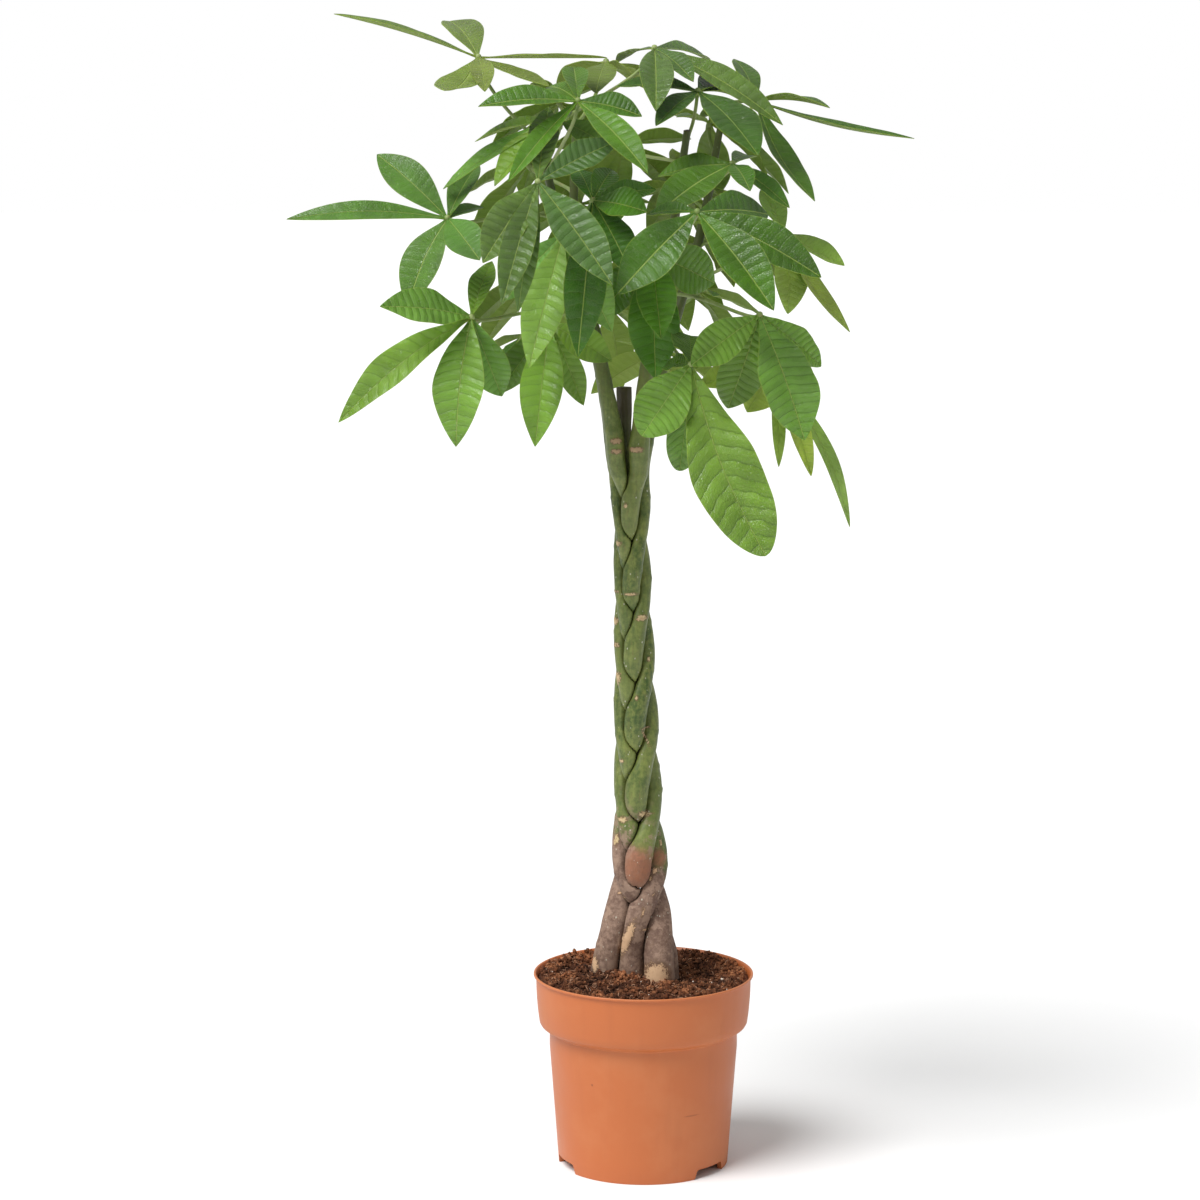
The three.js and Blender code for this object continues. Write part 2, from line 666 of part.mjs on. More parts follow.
function makeLeaves(stems, thickStems) {
  const leaves = [...LEAVES];
  for (let i = 0; i < BACK.count; i++) leaves.push(backLeaf(i));
  stems.forEach((stem, k) => note(stem, k));
  const names = leaves.map((_, i) => "leaf_" + String(i + 1).padStart(2, "0"));
  const parts = leaves.map(() => []);
  leaves.forEach((leaf, i) => {
    const step = STEPS.find((s) => !meets(makeStalk(leaf, s, BLADE.clear), leaf.shoot, Infinity));
    const stalk = makeStalk(leaf, step);
    note(stalk, names[i]);
    parts[i].push(stalk);
  });
  leaves.forEach((leaf, i) => {
    for (const tip of leaf.tips) {
      const thick = (s) => makeBlade(leaf, tip, s, BLADE.clear);
      const step = STEPS.find((s) => !meets(thick(s), names[i], BLADE.shared));
      const blade = makeBlade(leaf, tip, step);
      note(blade, names[i]);
      parts[i].push(blade);
    }
  });
  return leaves.map((leaf, i) => {
    const whole = parts[i].reduce((sum, next) => sum.add(next));
    const color = leaf.young ? COLOUR.youngLeaf : COLOUR.leaf;
    return piece(names[i], largest(whole.subtract(thickStems[leaf.shoot])), color, 0.45);
  });
}

// ---------------------------------------------------------------------------------------------
// The whole plant
// ---------------------------------------------------------------------------------------------
const strands = ROOTS.map((_, k) => k);
const thickStems = strands.map((k) => makeStem(k, GAP));
const stems = strands.map((k) => cut(makeStem(k), thickStems.slice(0, k)));

const plant = new THREE.Group();
plant.add(piece("pot", makePot(), COLOUR.pot, 0.5));
plant.add(piece("soil", makeSoil(thickStems), COLOUR.soil, 0.95));
stems.forEach((stem, k) => plant.add(piece("stem_" + (k + 1), stem, COLOUR.bark, 0.7)));
plant.add(...makeLeaves(stems, thickStems));

export default plant;
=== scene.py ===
"""A potted money tree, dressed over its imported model.

A trunk braided from five stems, palmate leaves on long stalks, and a plastic nursery pot of peat.
Blender's metres, +Z up, -Y towards the viewer, the origin in the middle of the pot's underside. The
sizes of the pieces are millimetres, and MM turns them into metres. Lengths in the finishes are metres,
because Object coordinates are.
"""
import logging
import math
import random
from dataclasses import dataclass, field
from enum import Enum, IntEnum

import bpy
import numpy as np
from mathutils import Euler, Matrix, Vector, noise


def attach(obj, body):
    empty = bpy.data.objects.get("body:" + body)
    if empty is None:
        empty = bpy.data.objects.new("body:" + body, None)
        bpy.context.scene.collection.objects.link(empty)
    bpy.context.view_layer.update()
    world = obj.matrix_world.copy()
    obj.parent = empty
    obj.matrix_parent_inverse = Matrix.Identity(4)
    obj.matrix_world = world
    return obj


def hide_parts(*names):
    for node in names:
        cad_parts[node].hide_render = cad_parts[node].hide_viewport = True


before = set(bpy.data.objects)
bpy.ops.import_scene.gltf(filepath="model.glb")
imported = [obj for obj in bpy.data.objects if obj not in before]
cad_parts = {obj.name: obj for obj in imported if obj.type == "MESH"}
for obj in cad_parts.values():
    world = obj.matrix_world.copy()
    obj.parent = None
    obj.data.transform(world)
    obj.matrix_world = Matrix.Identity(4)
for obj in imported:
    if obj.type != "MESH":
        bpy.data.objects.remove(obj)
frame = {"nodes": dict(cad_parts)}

MM = 0.001
LOG = logging.getLogger("money_tree")
Colour = tuple[float, float, float]
Place = tuple[float, float, float]
Row = tuple[float, ...]
Span = tuple[float, float]
Piece = bpy.types.Object
Material = bpy.types.Material
Socket = bpy.types.NodeSocket
VEIN_STEPS = 20.0  # the side veins' spacings in one unit of a leaflet's map


def mix(a: float, b: float, t: float) -> float:
    """Return the value a share t of the way from a to b."""
    return a + (b - a) * t


def smooth(low: float, high: float, value: float) -> float:
    """Return 0 below low, 1 above high, and a soft step between them."""
    t = min(1.0, max(0.0, (value - low) / (high - low)))
    return t * t * (3 - 2 * t)


def along(points: list[Row], x: float, column: int = 1) -> float:
    """Return the value at x on straight lines through rows of points.

    Args:
        points: rows, in rising order of their first values.
        x: the place to look up.
        column: which value of the rows to read.

    Returns:
        The value at x, or the nearest end's beyond the rows.
    """
    if x >= points[-1][0]:
        return points[-1][column]
    i = max(1, next(j for j, p in enumerate(points) if p[0] >= x))
    below, above = points[i - 1], points[i]
    t = max(0.0, (x - below[0]) / (above[0] - below[0]))
    return mix(below[column], above[column], t)


def curved(points: list[Row], x: float, column: int) -> float:
    """Return the value at x on a smooth curve through rows of points.

    Args:
        points: rows, in rising order of their first values.
        x: the place to look up.
        column: which value of the rows to read.

    Returns:
        The value at x, or the nearest end's beyond the rows.
    """
    last = len(points) - 1
    i = next((j for j, p in enumerate(points) if p[0] > x), 0) - 1
    i = last - 1 if x >= points[last][0] else min(last - 1, max(0, i))
    a, b = points[i], points[i + 1]

    def slope(j: int) -> float:
        """Return the curve's slope at its point j."""
        low, high = points[max(0, j - 1)], points[min(last, j + 1)]
        return (high[column] - low[column]) / (high[0] - low[0])

    span = b[0] - a[0]
    t = min(1.0, max(0.0, (x - a[0]) / span))
    return (
        (2 * t**3 - 3 * t**2 + 1) * a[column]
        + (t**3 - 2 * t**2 + t) * span * slope(i)
        + (3 * t**2 - 2 * t**3) * b[column]
        + (t**3 - t**2) * span * slope(i + 1)
    )


def unit(v: np.ndarray) -> np.ndarray:
    """Return a vector's direction."""
    return v / np.linalg.norm(v)


def turned(v: np.ndarray, axis: np.ndarray, degrees: float) -> np.ndarray:
    """Return a vector turned about an axis through the origin."""
    c, s = math.cos(math.radians(degrees)), math.sin(math.radians(degrees))
    return v * c + np.cross(axis, v) * s + axis * np.dot(axis, v) * (1 - c)


def across(way: np.ndarray) -> tuple[np.ndarray, np.ndarray]:
    """Return two directions square to a way and to each other.

    Args:
        way: the direction.

    Returns:
        A direction to its side, and one over it.
    """
    upright = np.array([1.0, 0, 0]) if abs(way[2]) > 0.9 else np.array([0, 0, 1.0])
    side = unit(np.cross(way, upright))
    return side, unit(np.cross(side, way))


def linear(red: int, green: int, blue: int) -> Colour:
    """Return a colour given as screen values from 0 to 255 in Blender's linear values.

    Args:
        red: the red value.
        green: the green value.
        blue: the blue value.

    Returns:
        The three linear values.
    """

    def one(v: float) -> float:
        """Return one channel."""
        return v / 12.92 if v <= 0.04045 else ((v + 0.055) / 1.055) ** 2.4

    return one(red / 255), one(green / 255), one(blue / 255)


# ---- The bench: Blender's tools, used on one piece at a time ----
class Bench:
    """Selection, edit mode, modifiers and joining."""

    @staticmethod
    def clear() -> None:
        """Leave edit mode and deselect every object."""
        if bpy.context.object and bpy.context.object.mode != "OBJECT":
            bpy.ops.object.mode_set(mode="OBJECT")
        bpy.ops.object.select_all(action="DESELECT")

    @staticmethod
    def take(piece: Piece) -> None:
        """Select one piece alone and make it active.

        Args:
            piece: the object to select.
        """
        Bench.clear()
        piece.select_set(True)
        bpy.context.view_layer.objects.active = piece

    @staticmethod
    def modify(piece: Piece, kind: str, **settings: object) -> None:
        """Add a modifier with its settings and apply it.

        Args:
            piece: the object to change.
            kind: Blender's name of the modifier's type.
            settings: the modifier's own settings.
        """
        Bench.take(piece)
        modifier = piece.modifiers.new(kind.title(), kind)
        for name, value in settings.items():
            setattr(modifier, name, value)
        bpy.ops.object.modifier_apply(modifier=modifier.name)

    @staticmethod
    def join(first: Piece, others: list[Piece]) -> None:
        """Join other pieces into the first.

        Args:
            first: the object that stays.
            others: the objects that become part of it.
        """
        Bench.take(first)
        for other in others:
            other.select_set(True)
        bpy.ops.object.join()

    @staticmethod
    def edit(piece: Piece, kind: str = "EDGE") -> None:
        """Open one piece in edit mode with nothing selected.

        Args:
            piece: the object to open.
            kind: what is selected in it, VERT, EDGE or FACE.
        """
        Bench.take(piece)
        bpy.ops.object.mode_set(mode="EDIT")
        bpy.ops.mesh.select_mode(type=kind)
        bpy.ops.mesh.select_all(action="DESELECT")

    @staticmethod
    def outward(piece: Piece, merge: float = 1e-6) -> None:
        """Merge doubled points and turn every face outwards.

        Args:
            piece: the object to mend.
            merge: the distance in metres within which points are one.
        """
        Bench.edit(piece, "VERT")
        bpy.ops.mesh.select_all(action="SELECT")
        bpy.ops.mesh.remove_doubles(threshold=merge)
        bpy.ops.mesh.normals_make_consistent(inside=False)
        Bench.clear()

    @staticmethod
    def draw_rings(profile: list[Span]) -> None:
        """Draw the selected ring of edges through a profile by extruding and resizing it.

        Args:
            profile: radius and height of each ring in millimetres, the selected one first.
        """
        for (r0, z0), (r1, z1) in zip(profile, profile[1:]):
            shift = {"value": (0, 0, (z1 - z0) * MM)}
            bpy.ops.mesh.extrude_edges_move(TRANSFORM_OT_translate=shift)
            grow = r1 / r0
            bpy.ops.transform.resize(value=(grow, grow, 1), center_override=(0, 0, z1 * MM))

    @staticmethod
    def mesh(name: str, points: np.ndarray, faces: list[tuple[int, ...]]) -> Piece:
        """Make a piece from points in millimetres and faces, and link it to the scene.

        Args:
            name: the piece's name.
            points: one row of x, y and z for each point.
            faces: the indices of each face's points.

        Returns:
            The new object, at the origin.
        """
        data = bpy.data.meshes.new(name)
        data.from_pydata((points * MM).tolist(), [], faces)
        data.update()
        piece = bpy.data.objects.new(name, data)
        bpy.context.scene.collection.objects.link(piece)
        return piece

    @staticmethod
    def points(piece: Piece) -> np.ndarray:
        """Return a mesh's points in millimetres.

        Args:
            piece: the object to read.

        Returns:
            One row of x, y and z for each point.
        """
        flat = np.empty(len(piece.data.vertices) * 3, np.float32)
        piece.data.vertices.foreach_get("co", flat)
        return flat.reshape(-1, 3).astype(float) / MM

    @staticmethod
    def place(piece: Piece, points: np.ndarray) -> None:
        """Move a mesh's points to new places in millimetres."""
        piece.data.vertices.foreach_set("co", (points * MM).astype(np.float32).ravel())
        piece.data.update()

    @staticmethod
    def paint(piece: Piece, name: str, values: np.ndarray) -> None:
        """Store one number for each point under a name that a material reads."""
        layer = piece.data.attributes.new(name, "FLOAT", "POINT")
        layer.data.foreach_set("value", values.astype(np.float32))

    @staticmethod
    def finish(piece: Piece, nodes: list[str], slot: str, angle: float | None = None) -> None:
        """Shade a piece smooth, ride it on the plant and let it stand for its CAD nodes.

        Args:
            piece: the finished object.
            nodes: the CAD nodes it stands for, if any.
            slot: not used.
            angle: degrees above which an edge stays sharp, or none for smooth all over.
        """
        Bench.take(piece)
        if angle is None:
            bpy.ops.object.shade_smooth()
        else:
            bpy.ops.object.shade_smooth_by_angle(angle=math.radians(angle))
        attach(piece, "root")
        if nodes:
            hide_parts(*nodes)
        LOG.info("%s: %d faces", piece.name, len(piece.data.polygons))


# ---- Finishes ----
class Shades:
    """A material's node tree, wired one node at a time around its shader."""

    def __init__(self, name: str) -> None:
        """Start a material with its shader alone.

        Args:
            name: the material's name.
        """
        self.material = bpy.data.materials.new(name)
        self.material.use_nodes = True
        self.tree = self.material.node_tree
        self.shader = self.tree.nodes["Principled BSDF"]

    def node(self, kind: str, inputs: dict | None = None, **settings: object) -> bpy.types.Node:
        """Add a node.

        Args:
            kind: Blender's name of the node's type, without its ShaderNode.
            inputs: a value or another node's output for each named or numbered input.
            settings: the node's own settings.

        Returns:
            The new node.
        """
        made = self.tree.nodes.new("ShaderNode" + kind)
        for name, value in settings.items():
            setattr(made, name, value)
        for key, value in (inputs or {}).items():
            self.feed(made.inputs[key], value)
        return made

    def feed(self, socket: Socket, value: object) -> None:
        """Set a socket to a value, or link it to another node's output.

        Args:
            socket: the input to set.
            value: a number, a colour, a vector or an output.
        """
        if isinstance(value, Socket):
            self.tree.links.new(value, socket)
        elif socket.type == "RGBA" and len(value) == 3:
            socket.default_value = (*value, 1)
        else:
            socket.default_value = value

    def place(self) -> Socket:
        """Return the place on the piece, in metres."""
        return self.node("TexCoord").outputs["Object"]

    def axis(self, name: str) -> Socket:
        """Return one coordinate of the place on the piece, in metres."""
        return self.node("SeparateXYZ", {0: self.place()}).outputs[name]

    def stretched(self, scale: Place) -> Socket:
        """Return the place on the piece with each axis scaled."""
        return self.node("Mapping", {"Vector": self.place(), "Scale": scale}).outputs[0]

    def attribute(self, name: str, output: str = "Fac") -> Socket:
        """Return a value stored on the mesh."""
        return self.node("Attribute", attribute_name=name).outputs[output]

    def noise(
        self, scale: float, detail: float = 3, rough: float = 0.55, at: object = None
    ) -> Socket:
        """Return a noise between 0 and 1.

        Args:
            scale: its cells in one metre, or in one unit of the given place.
            detail: its number of finer layers.
            rough: how strong they are.
            at: the place it reads, or none for the place on the piece.

        Returns:
            The noise's output.
        """
        inputs = {"Vector": at or self.place(), "Scale": scale, "Detail": detail, "Roughness": rough}
        return self.node("TexNoise", inputs).outputs[0]

    def away(self, point: Place, flatness: float = 1.0) -> Socket:
        """Return the distance from a point, in which heights count as many times as the flatness says.

        Args:
            point: the point, in metres.
            flatness: how many times a height counts.

        Returns:
            The distance's output.
        """
        x, y, z = point
        ends = {0: self.stretched((1, 1, flatness)), 1: (x, y, z * flatness)}
        return self.node("VectorMath", ends, operation="DISTANCE").outputs["Value"]

    def math(self, what: str, a: object, b: object = 0.0) -> Socket:
        """Return what Blender's Math node makes of two values."""
        return self.node("Math", {0: a, 1: b}, operation=what).outputs[0]

    def plus(self, a: object, b: object) -> Socket:
        """Return a sum."""
        return self.math("ADD", a, b)

    def less(self, a: object, b: object) -> Socket:
        """Return a difference."""
        return self.math("SUBTRACT", a, b)

    def times(self, a: object, b: object) -> Socket:
        """Return a product."""
        return self.math("MULTIPLY", a, b)

    def stray(self, scale: float, reach: float, detail: float = 3, rough: float = 0.55) -> Socket:
        """Return a noise that strays from 0 both ways, by half its reach."""
        return self.times(self.less(self.noise(scale, detail, rough), 0.5), reach)

    def band(
        self, value: object, low: float, high: float, start: float = 0.0, end: float = 1.0
    ) -> Socket:
        """Return a soft step from start to end as a value goes from low to high."""
        inputs = {"Value": value, "From Min": low, "From Max": high, "To Min": start, "To Max": end}
        return self.node("MapRange", inputs, interpolation_type="SMOOTHSTEP").outputs[0]

    def blend(self, share: object, a: object, b: object, how: str = "MIX") -> Socket:
        """Return one colour mixed with another.

        Args:
            share: how much of the second shows, 0 to 1.
            a: the first colour.
            b: the second colour.
            how: Blender's name of the way they mix.

        Returns:
            The mixed colour's output.
        """
        made = self.node("Mix", data_type="RGBA", blend_type=how)
        for socket, value in ((0, share), (6, a), (7, b)):
            self.feed(made.inputs[socket], value)
        return made.outputs[2]

    def ramp(self, value: object, stops: list[tuple[float, Colour]]) -> Socket:
        """Return a colour read off a row of stops.

        Args:
            value: what picks the colour, 0 to 1.
            stops: the colours, each after its place from 0 to 1.

        Returns:
            The colour's output.
        """
        made = self.node("ValToRGB", {0: value})
        ramp = made.color_ramp
        while len(ramp.elements) < len(stops):
            ramp.elements.new(0.5)
        for element, (at, colour) in zip(ramp.elements, stops):
            element.position = at
            element.color = (*colour, 1)
        return made.outputs[0]

    def bump(self, height: object, distance: float, strength: float = 1.0, under: object = None) -> object:
        """Return a normal raised by a height.

        Args:
            height: the height, 0 to 1.
            distance: what a height of 1 stands for, in millimetres.
            strength: how much of it shows.
            under: a normal to start from.

        Returns:
            The new normal's output.
        """
        inputs = {"Height": height, "Distance": distance * MM, "Strength": strength}
        if under is not None:
            inputs["Normal"] = under
        return self.node("Bump", inputs).outputs[0]

    def wear(self, colour: object, roughness: object, normal: object = None, **fixed: object) -> Material:
        """Plug the results into the shader.

        Args:
            colour: the base colour.
            roughness: the roughness.
            normal: the normal, if the finish has relief.
            fixed: further sockets of the shader that are the same all over.

        Returns:
            The finished material.
        """
        self.feed(self.shader.inputs["Base Color"], colour)
        self.feed(self.shader.inputs["Roughness"], roughness)
        if normal is not None:
            self.feed(self.shader.inputs["Normal"], normal)
        for name, value in fixed.items():
            self.shader.inputs[name.replace("_", " ")].default_value = value
        return self.material


@dataclass(frozen=True)
class PotPlastic:
    """Moulded terracotta-coloured plastic, a little dusty, with faint scuffs and a paler lip."""

    colour: Colour = linear(184, 101, 52)
    dusty: Colour = linear(194, 120, 76)
    scuff: Colour = linear(132, 70, 40)
    speck_at: Place = (-0.056, -0.084, 0.1085)
    speck: Span = (0.0008, 0.0018)
    scratch_at: Place = (0.052, -0.0845, 0.0745)
    scratch: Span = (0.006, 0.013)
    scratch_flatness: float = 12
    lip: Span = (0.2106, 0.2119)

    def make(self) -> Material:
        """Wire the finish.

        Returns:
            The material.
        """
        s = Shades("pot_plastic")
        clouds = s.noise(14, 4)
        streaks = s.noise(1, 3, at=s.stretched((60, 60, 9)))
        dust = s.times(s.band(clouds, 0.42, 0.72), 0.45)
        colour = s.blend(dust, self.colour, self.dusty)
        colour = s.blend(s.band(streaks, 0.5, 0.8, 0, 0.08), colour, self.scuff)
        colour = self.scuffed(s, colour)
        # a paler band along the top of the lip, painted in the dust's colour
        colour = s.blend(s.band(s.axis("Z"), *self.lip, 0, 0.6), colour, self.dusty)
        roughness = s.band(clouds, 0.3, 0.75, 0.4, 0.58)
        grain = s.bump(s.noise(1400, 2), 0.05, 0.35)
        normal = s.bump(s.noise(30, 2), 0.5, 0.25, grain)
        return s.wear(colour, roughness, normal, Specular_IOR_Level=0.45)

    def scuffed(self, s: Shades, colour: Socket) -> Socket:
        """Return the colour with faint level scuffs, one dark speck and one scratch.

        Args:
            s: the material's shades.
            colour: the plastic's colour.

        Returns:
            The scuffed colour.
        """
        marks = s.noise(1, 6, 0.7, at=s.stretched((16, 16, 240)))
        few = s.times(s.band(marks, 0.69, 0.74), s.band(s.noise(11, 2), 0.52, 0.62))
        colour = s.blend(s.times(few, 0.55), colour, self.scuff)
        colour = s.blend(s.band(s.away(self.speck_at), *self.speck, 0.75, 0), colour, self.scuff)
        off = s.plus(s.away(self.scratch_at, self.scratch_flatness), s.stray(160, 0.008))
        return s.blend(s.band(off, *self.scratch, 0.5, 0), colour, self.scuff)


@dataclass(frozen=True)
class Peat:
    """Brown peat, dark between the crumbs and damp in patches, with lighter fibrous bits.

    The last four are factors on the colour: painted shade on what lies low and painted light on what lies
    high, and what is damp or dry.
    """

    dark: Colour = linear(40, 21, 12)
    brown: Colour = linear(104, 63, 40)
    light: Colour = linear(168, 120, 86)
    sunk: Colour = (0.3, 0.27, 0.25)
    raised: Colour = (1.9, 1.85, 1.75)
    damp: Colour = (0.42, 0.38, 0.36)
    dry: Colour = (1.22, 1.2, 1.18)

    def make(self) -> Material:
        """Wire the finish.

        Returns:
            The material.
        """
        s = Shades("peat")
        grain = s.noise(420, 5, 0.65)
        lumps = s.noise(90, 4)
        tone = s.plus(s.times(grain, 0.65), s.times(lumps, 0.35))
        colour = s.ramp(tone, [(0.36, self.dark), (0.5, self.brown), (0.66, self.light)])
        # painted shade in the hollows and painted light on the heaps, read from the height stored in tone
        height = s.blend(s.attribute("tone"), self.sunk, self.raised)
        colour = s.blend(1.0, colour, height, "MULTIPLY")
        patches = s.blend(s.band(s.noise(24, 4, 0.6), 0.42, 0.62), self.damp, self.dry)
        colour = s.blend(1.0, colour, patches, "MULTIPLY")
        normal = s.bump(grain, 1.1, 0.9)
        normal = s.bump(lumps, 2.0, 0.5, normal)
        return s.wear(colour, 0.93, normal, Specular_IOR_Level=0.25)


@dataclass(frozen=True)
class Perlite:
    """Chalky white volcanic grains, stained a little by the peat."""

    white: Colour = linear(226, 214, 200)
    stain: Colour = linear(170, 138, 112)

    def make(self) -> Material:
        """Wire the finish.

        Returns:
            The material.
        """
        s = Shades("perlite")
        pores = s.noise(900, 4)
        colour = s.blend(s.band(pores, 0.45, 0.75), self.white, self.stain)
        return s.wear(colour, 0.85, s.bump(pores, 0.4, 0.8))


@dataclass(frozen=True)
class RootFibre:
    """Dry coir and root hairs, straw brown."""

    pale: Colour = linear(206, 160, 128)
    deep: Colour = linear(120, 76, 50)

    def make(self) -> Material:
        """Wire the finish.

        Returns:
            The material.
        """
        s = Shades("root_fibre")
        colour = s.blend(s.noise(60, 3), self.pale, self.deep)
        return s.wear(colour, 0.8, s.bump(s.noise(2400, 2), 0.1, 0.6))


@dataclass(frozen=True)
class Bark:
    """The stems' skin: grey-brown and corky at the foot, green above, with pores and bud scars, and painted
    shade in the creases between the stems and on the stump.

    Each span of heights is where one skin gives way to another. The cork reaches higher at the left,
    along a slope about a line near the trunk's middle, and its edge is ragged.
    """

    cork: Colour = linear(102, 78, 66)
    cork_light: Colour = linear(152, 126, 108)
    red: Colour = linear(148, 98, 72)
    green: Colour = linear(58, 80, 32)
    green_light: Colour = linear(118, 128, 64)
    shoot: Colour = linear(70, 82, 38)
    scar: Colour = linear(198, 176, 134)
    scar_tan: Colour = linear(166, 140, 102)
    scar_rim: Colour = linear(104, 78, 52)
    knot: Colour = linear(164, 136, 104)
    peeled: Colour = linear(206, 168, 134)
    pore: Colour = linear(212, 208, 188)
    # the cut ends' brown, also used for the painted shade in the creases and on the stump
    cut: Colour = linear(58, 46, 28)
    cork_to_green: Span = (0.34, 0.366)
    tired: Span = (0.35, 0.43)
    rough_to_smooth: Span = (0.34, 0.4)
    peeled_to_scar: Span = (0.33, 0.35)
    scar_to_knot: Span = (0.76, 0.78)
    pores_end: Span = (0.74, 0.82)
    green_to_shoot: Span = (0.79, 0.95)
    slope: float = 0.8
    slope_about: float = -0.008
    ragged: float = 0.06

    def make(self) -> Material:
        """Wire the finish.

        Returns:
            The material.
        """
        s = Shades("bark")
        height = s.axis("Z")
        sloping = s.times(s.less(s.axis("X"), self.slope_about), self.slope)
        level = s.plus(s.plus(height, s.stray(60, self.ragged, 5, 0.65)), sloping)
        wrinkles = s.noise(1, 4, 0.6, at=s.stretched((520, 520, 110)))
        mottle = s.noise(210, 5, 0.7)
        clouds = s.noise(34, 4)
        tone = s.plus(s.times(clouds, 0.45), s.times(mottle, 0.55))
        cork = s.blend(s.band(tone, 0.38, 0.64), self.cork, self.cork_light)
        green = self.green_skin(s, tone, height)
        colour = s.blend(s.band(level, *self.cork_to_green), cork, green)
        tired = s.times(s.band(level, *self.tired, 1, 0), s.band(s.noise(70, 4, 0.65), 0.52, 0.6))
        colour = s.blend(s.times(tired, 0.8), colour, self.cork_light)
        flush = s.times(s.band(s.attribute("blush"), 0.1, 0.95), s.band(mottle, 0.3, 0.62, 0.6, 1.0))
        colour = s.blend(flush, colour, self.red)
        colour = s.blend(s.band(wrinkles, 0.5, 0.75, 0, 0.3), colour, self.scar_rim)
        pores = self.pores(s, height)
        colour = s.blend(s.times(pores, 0.7), colour, self.pore)
        scars, rims = self.scars(s)
        colour = s.blend(s.times(rims, 0.7), colour, self.scar_rim)
        colour = s.blend(scars, colour, self.scar_skin(s, height))
        # painted shade darkens the creases where the strands press together
        colour = s.blend(s.times(s.attribute("painted_crease_shade"), 0.3), colour, self.cut)
        # the cut ends, and painted shade on the stump that darkens upwards
        colour = s.blend(s.attribute("cut"), colour, self.cut)
        rough = s.plus(s.band(level, *self.rough_to_smooth, 0.78, 0.44), s.times(scars, 0.25))
        relief = s.plus(wrinkles, s.times(scars, 0.8))
        relief = s.plus(relief, s.times(pores, 0.9))
        relief = s.plus(relief, s.times(mottle, 0.7))
        normal = s.bump(relief, 0.6, 0.7)
        normal = s.bump(clouds, 1.4, 0.5, normal)
        return s.wear(colour, rough, normal, Specular_IOR_Level=0.4)

    def green_skin(self, s: Shades, tone: Socket, height: Socket) -> Socket:
        """Return the colour of the green stems: streaked, paler on an old one, olive on the shoots.

        Args:
            s: the material's shades.
            tone: light and dark patches, 0 to 1.
            height: the height in metres.

        Returns:
            The colour.
        """
        stripes = s.noise(1, 3, at=s.stretched((260, 260, 16)))
        lit = s.plus(s.times(tone, 0.75), s.times(stripes, 0.25))
        green = s.blend(s.band(lit, 0.4, 0.62), self.green, self.green_light)
        green = s.blend(s.times(s.attribute("age"), 0.55), green, self.green_light)
        return s.blend(s.band(height, *self.green_to_shoot), green, self.shoot)

    def pores(self, s: Shades, height: Socket) -> Socket:
        """Return where the small pale pores are, 0 to 1: of uneven size, in loose groups.

        Args:
            s: the material's shades.
            height: the height in metres.

        Returns:
            How much of the skin is a pore.
        """
        cells = {"Vector": s.stretched((1, 1, 0.62)), "Scale": 190.0, "Randomness": 1.0}
        off = s.node("TexVoronoi", cells).outputs["Distance"]
        some = s.band(s.noise(42, 2), 0.38, 0.5)
        size = s.band(s.noise(150, 1), 0.35, 0.65, 0.35, 1.15)
        pores = s.times(s.band(s.math("DIVIDE", off, size), 0.09, 0.17, 1, 0), some)
        return s.times(pores, s.band(height, *self.pores_end, 1, 0.2))

    def scars(self, s: Shades) -> tuple[Socket, Socket]:
        """Return where the scars and where their dark rims are, 0 to 1, with ragged edges.

        Args:
            s: the material's shades.

        Returns:
            How much of the skin is a scar, and how much a rim.
        """
        marked = s.plus(s.attribute("scar"), s.stray(420, 2.2, 4, 0.75))
        inside = s.band(s.attribute("scar"), 0.08, 0.2)
        return s.times(s.band(marked, 0.42, 0.6), inside), s.times(s.band(marked, 0.1, 0.4), inside)

    def scar_skin(self, s: Shades, height: Socket) -> Socket:
        """Return the scars' colour: peeled bark at the foot, bud scars above, knots at the head.

        Args:
            s: the material's shades.
            height: the height in metres.

        Returns:
            The colour.
        """
        skin = s.blend(s.band(s.noise(300, 4), 0.38, 0.66), self.scar, self.scar_tan)
        skin = s.blend(s.band(height, *self.scar_to_knot), skin, self.knot)
        return s.blend(s.band(height, *self.peeled_to_scar, 0.8, 0), skin, self.peeled)


@dataclass(frozen=True)
class StalkSkin:
    """The leaf stalks: smooth light green, with tan patches here and there."""

    green: Colour = linear(112, 134, 66)
    pale: Colour = linear(150, 164, 104)
    tan: Colour = linear(132, 112, 66)

    def make(self) -> Material:
        """Wire the finish.

        Returns:
            The material.
        """
        s = Shades("leaf_stalk")
        colour = s.blend(s.band(s.noise(30, 3), 0.35, 0.7), self.green, self.pale)
        colour = s.blend(s.band(s.noise(140, 4), 0.58, 0.72, 0, 0.6), colour, self.tan)
        lines = s.noise(1600, 3)
        return s.wear(colour, 0.5, s.bump(lines, 0.12, 0.4), Specular_IOR_Level=0.45)


class Side(Enum):
    """The two sides of a leaflet."""

    UPPER = "leaf_upper"
    LOWER = "leaf_lower"


@dataclass(frozen=True)
class Veins:
    """Where the veins of a leaflet run, each from 0 to 1 except the first.

    Near is 0 on a side vein and 0.5 halfway between two. Side and rib are 1 on a side vein and on the
    midrib, and between is 1 off the fine net of veins.
    """

    near: Socket
    side: Socket
    rib: Socket
    between: Socket


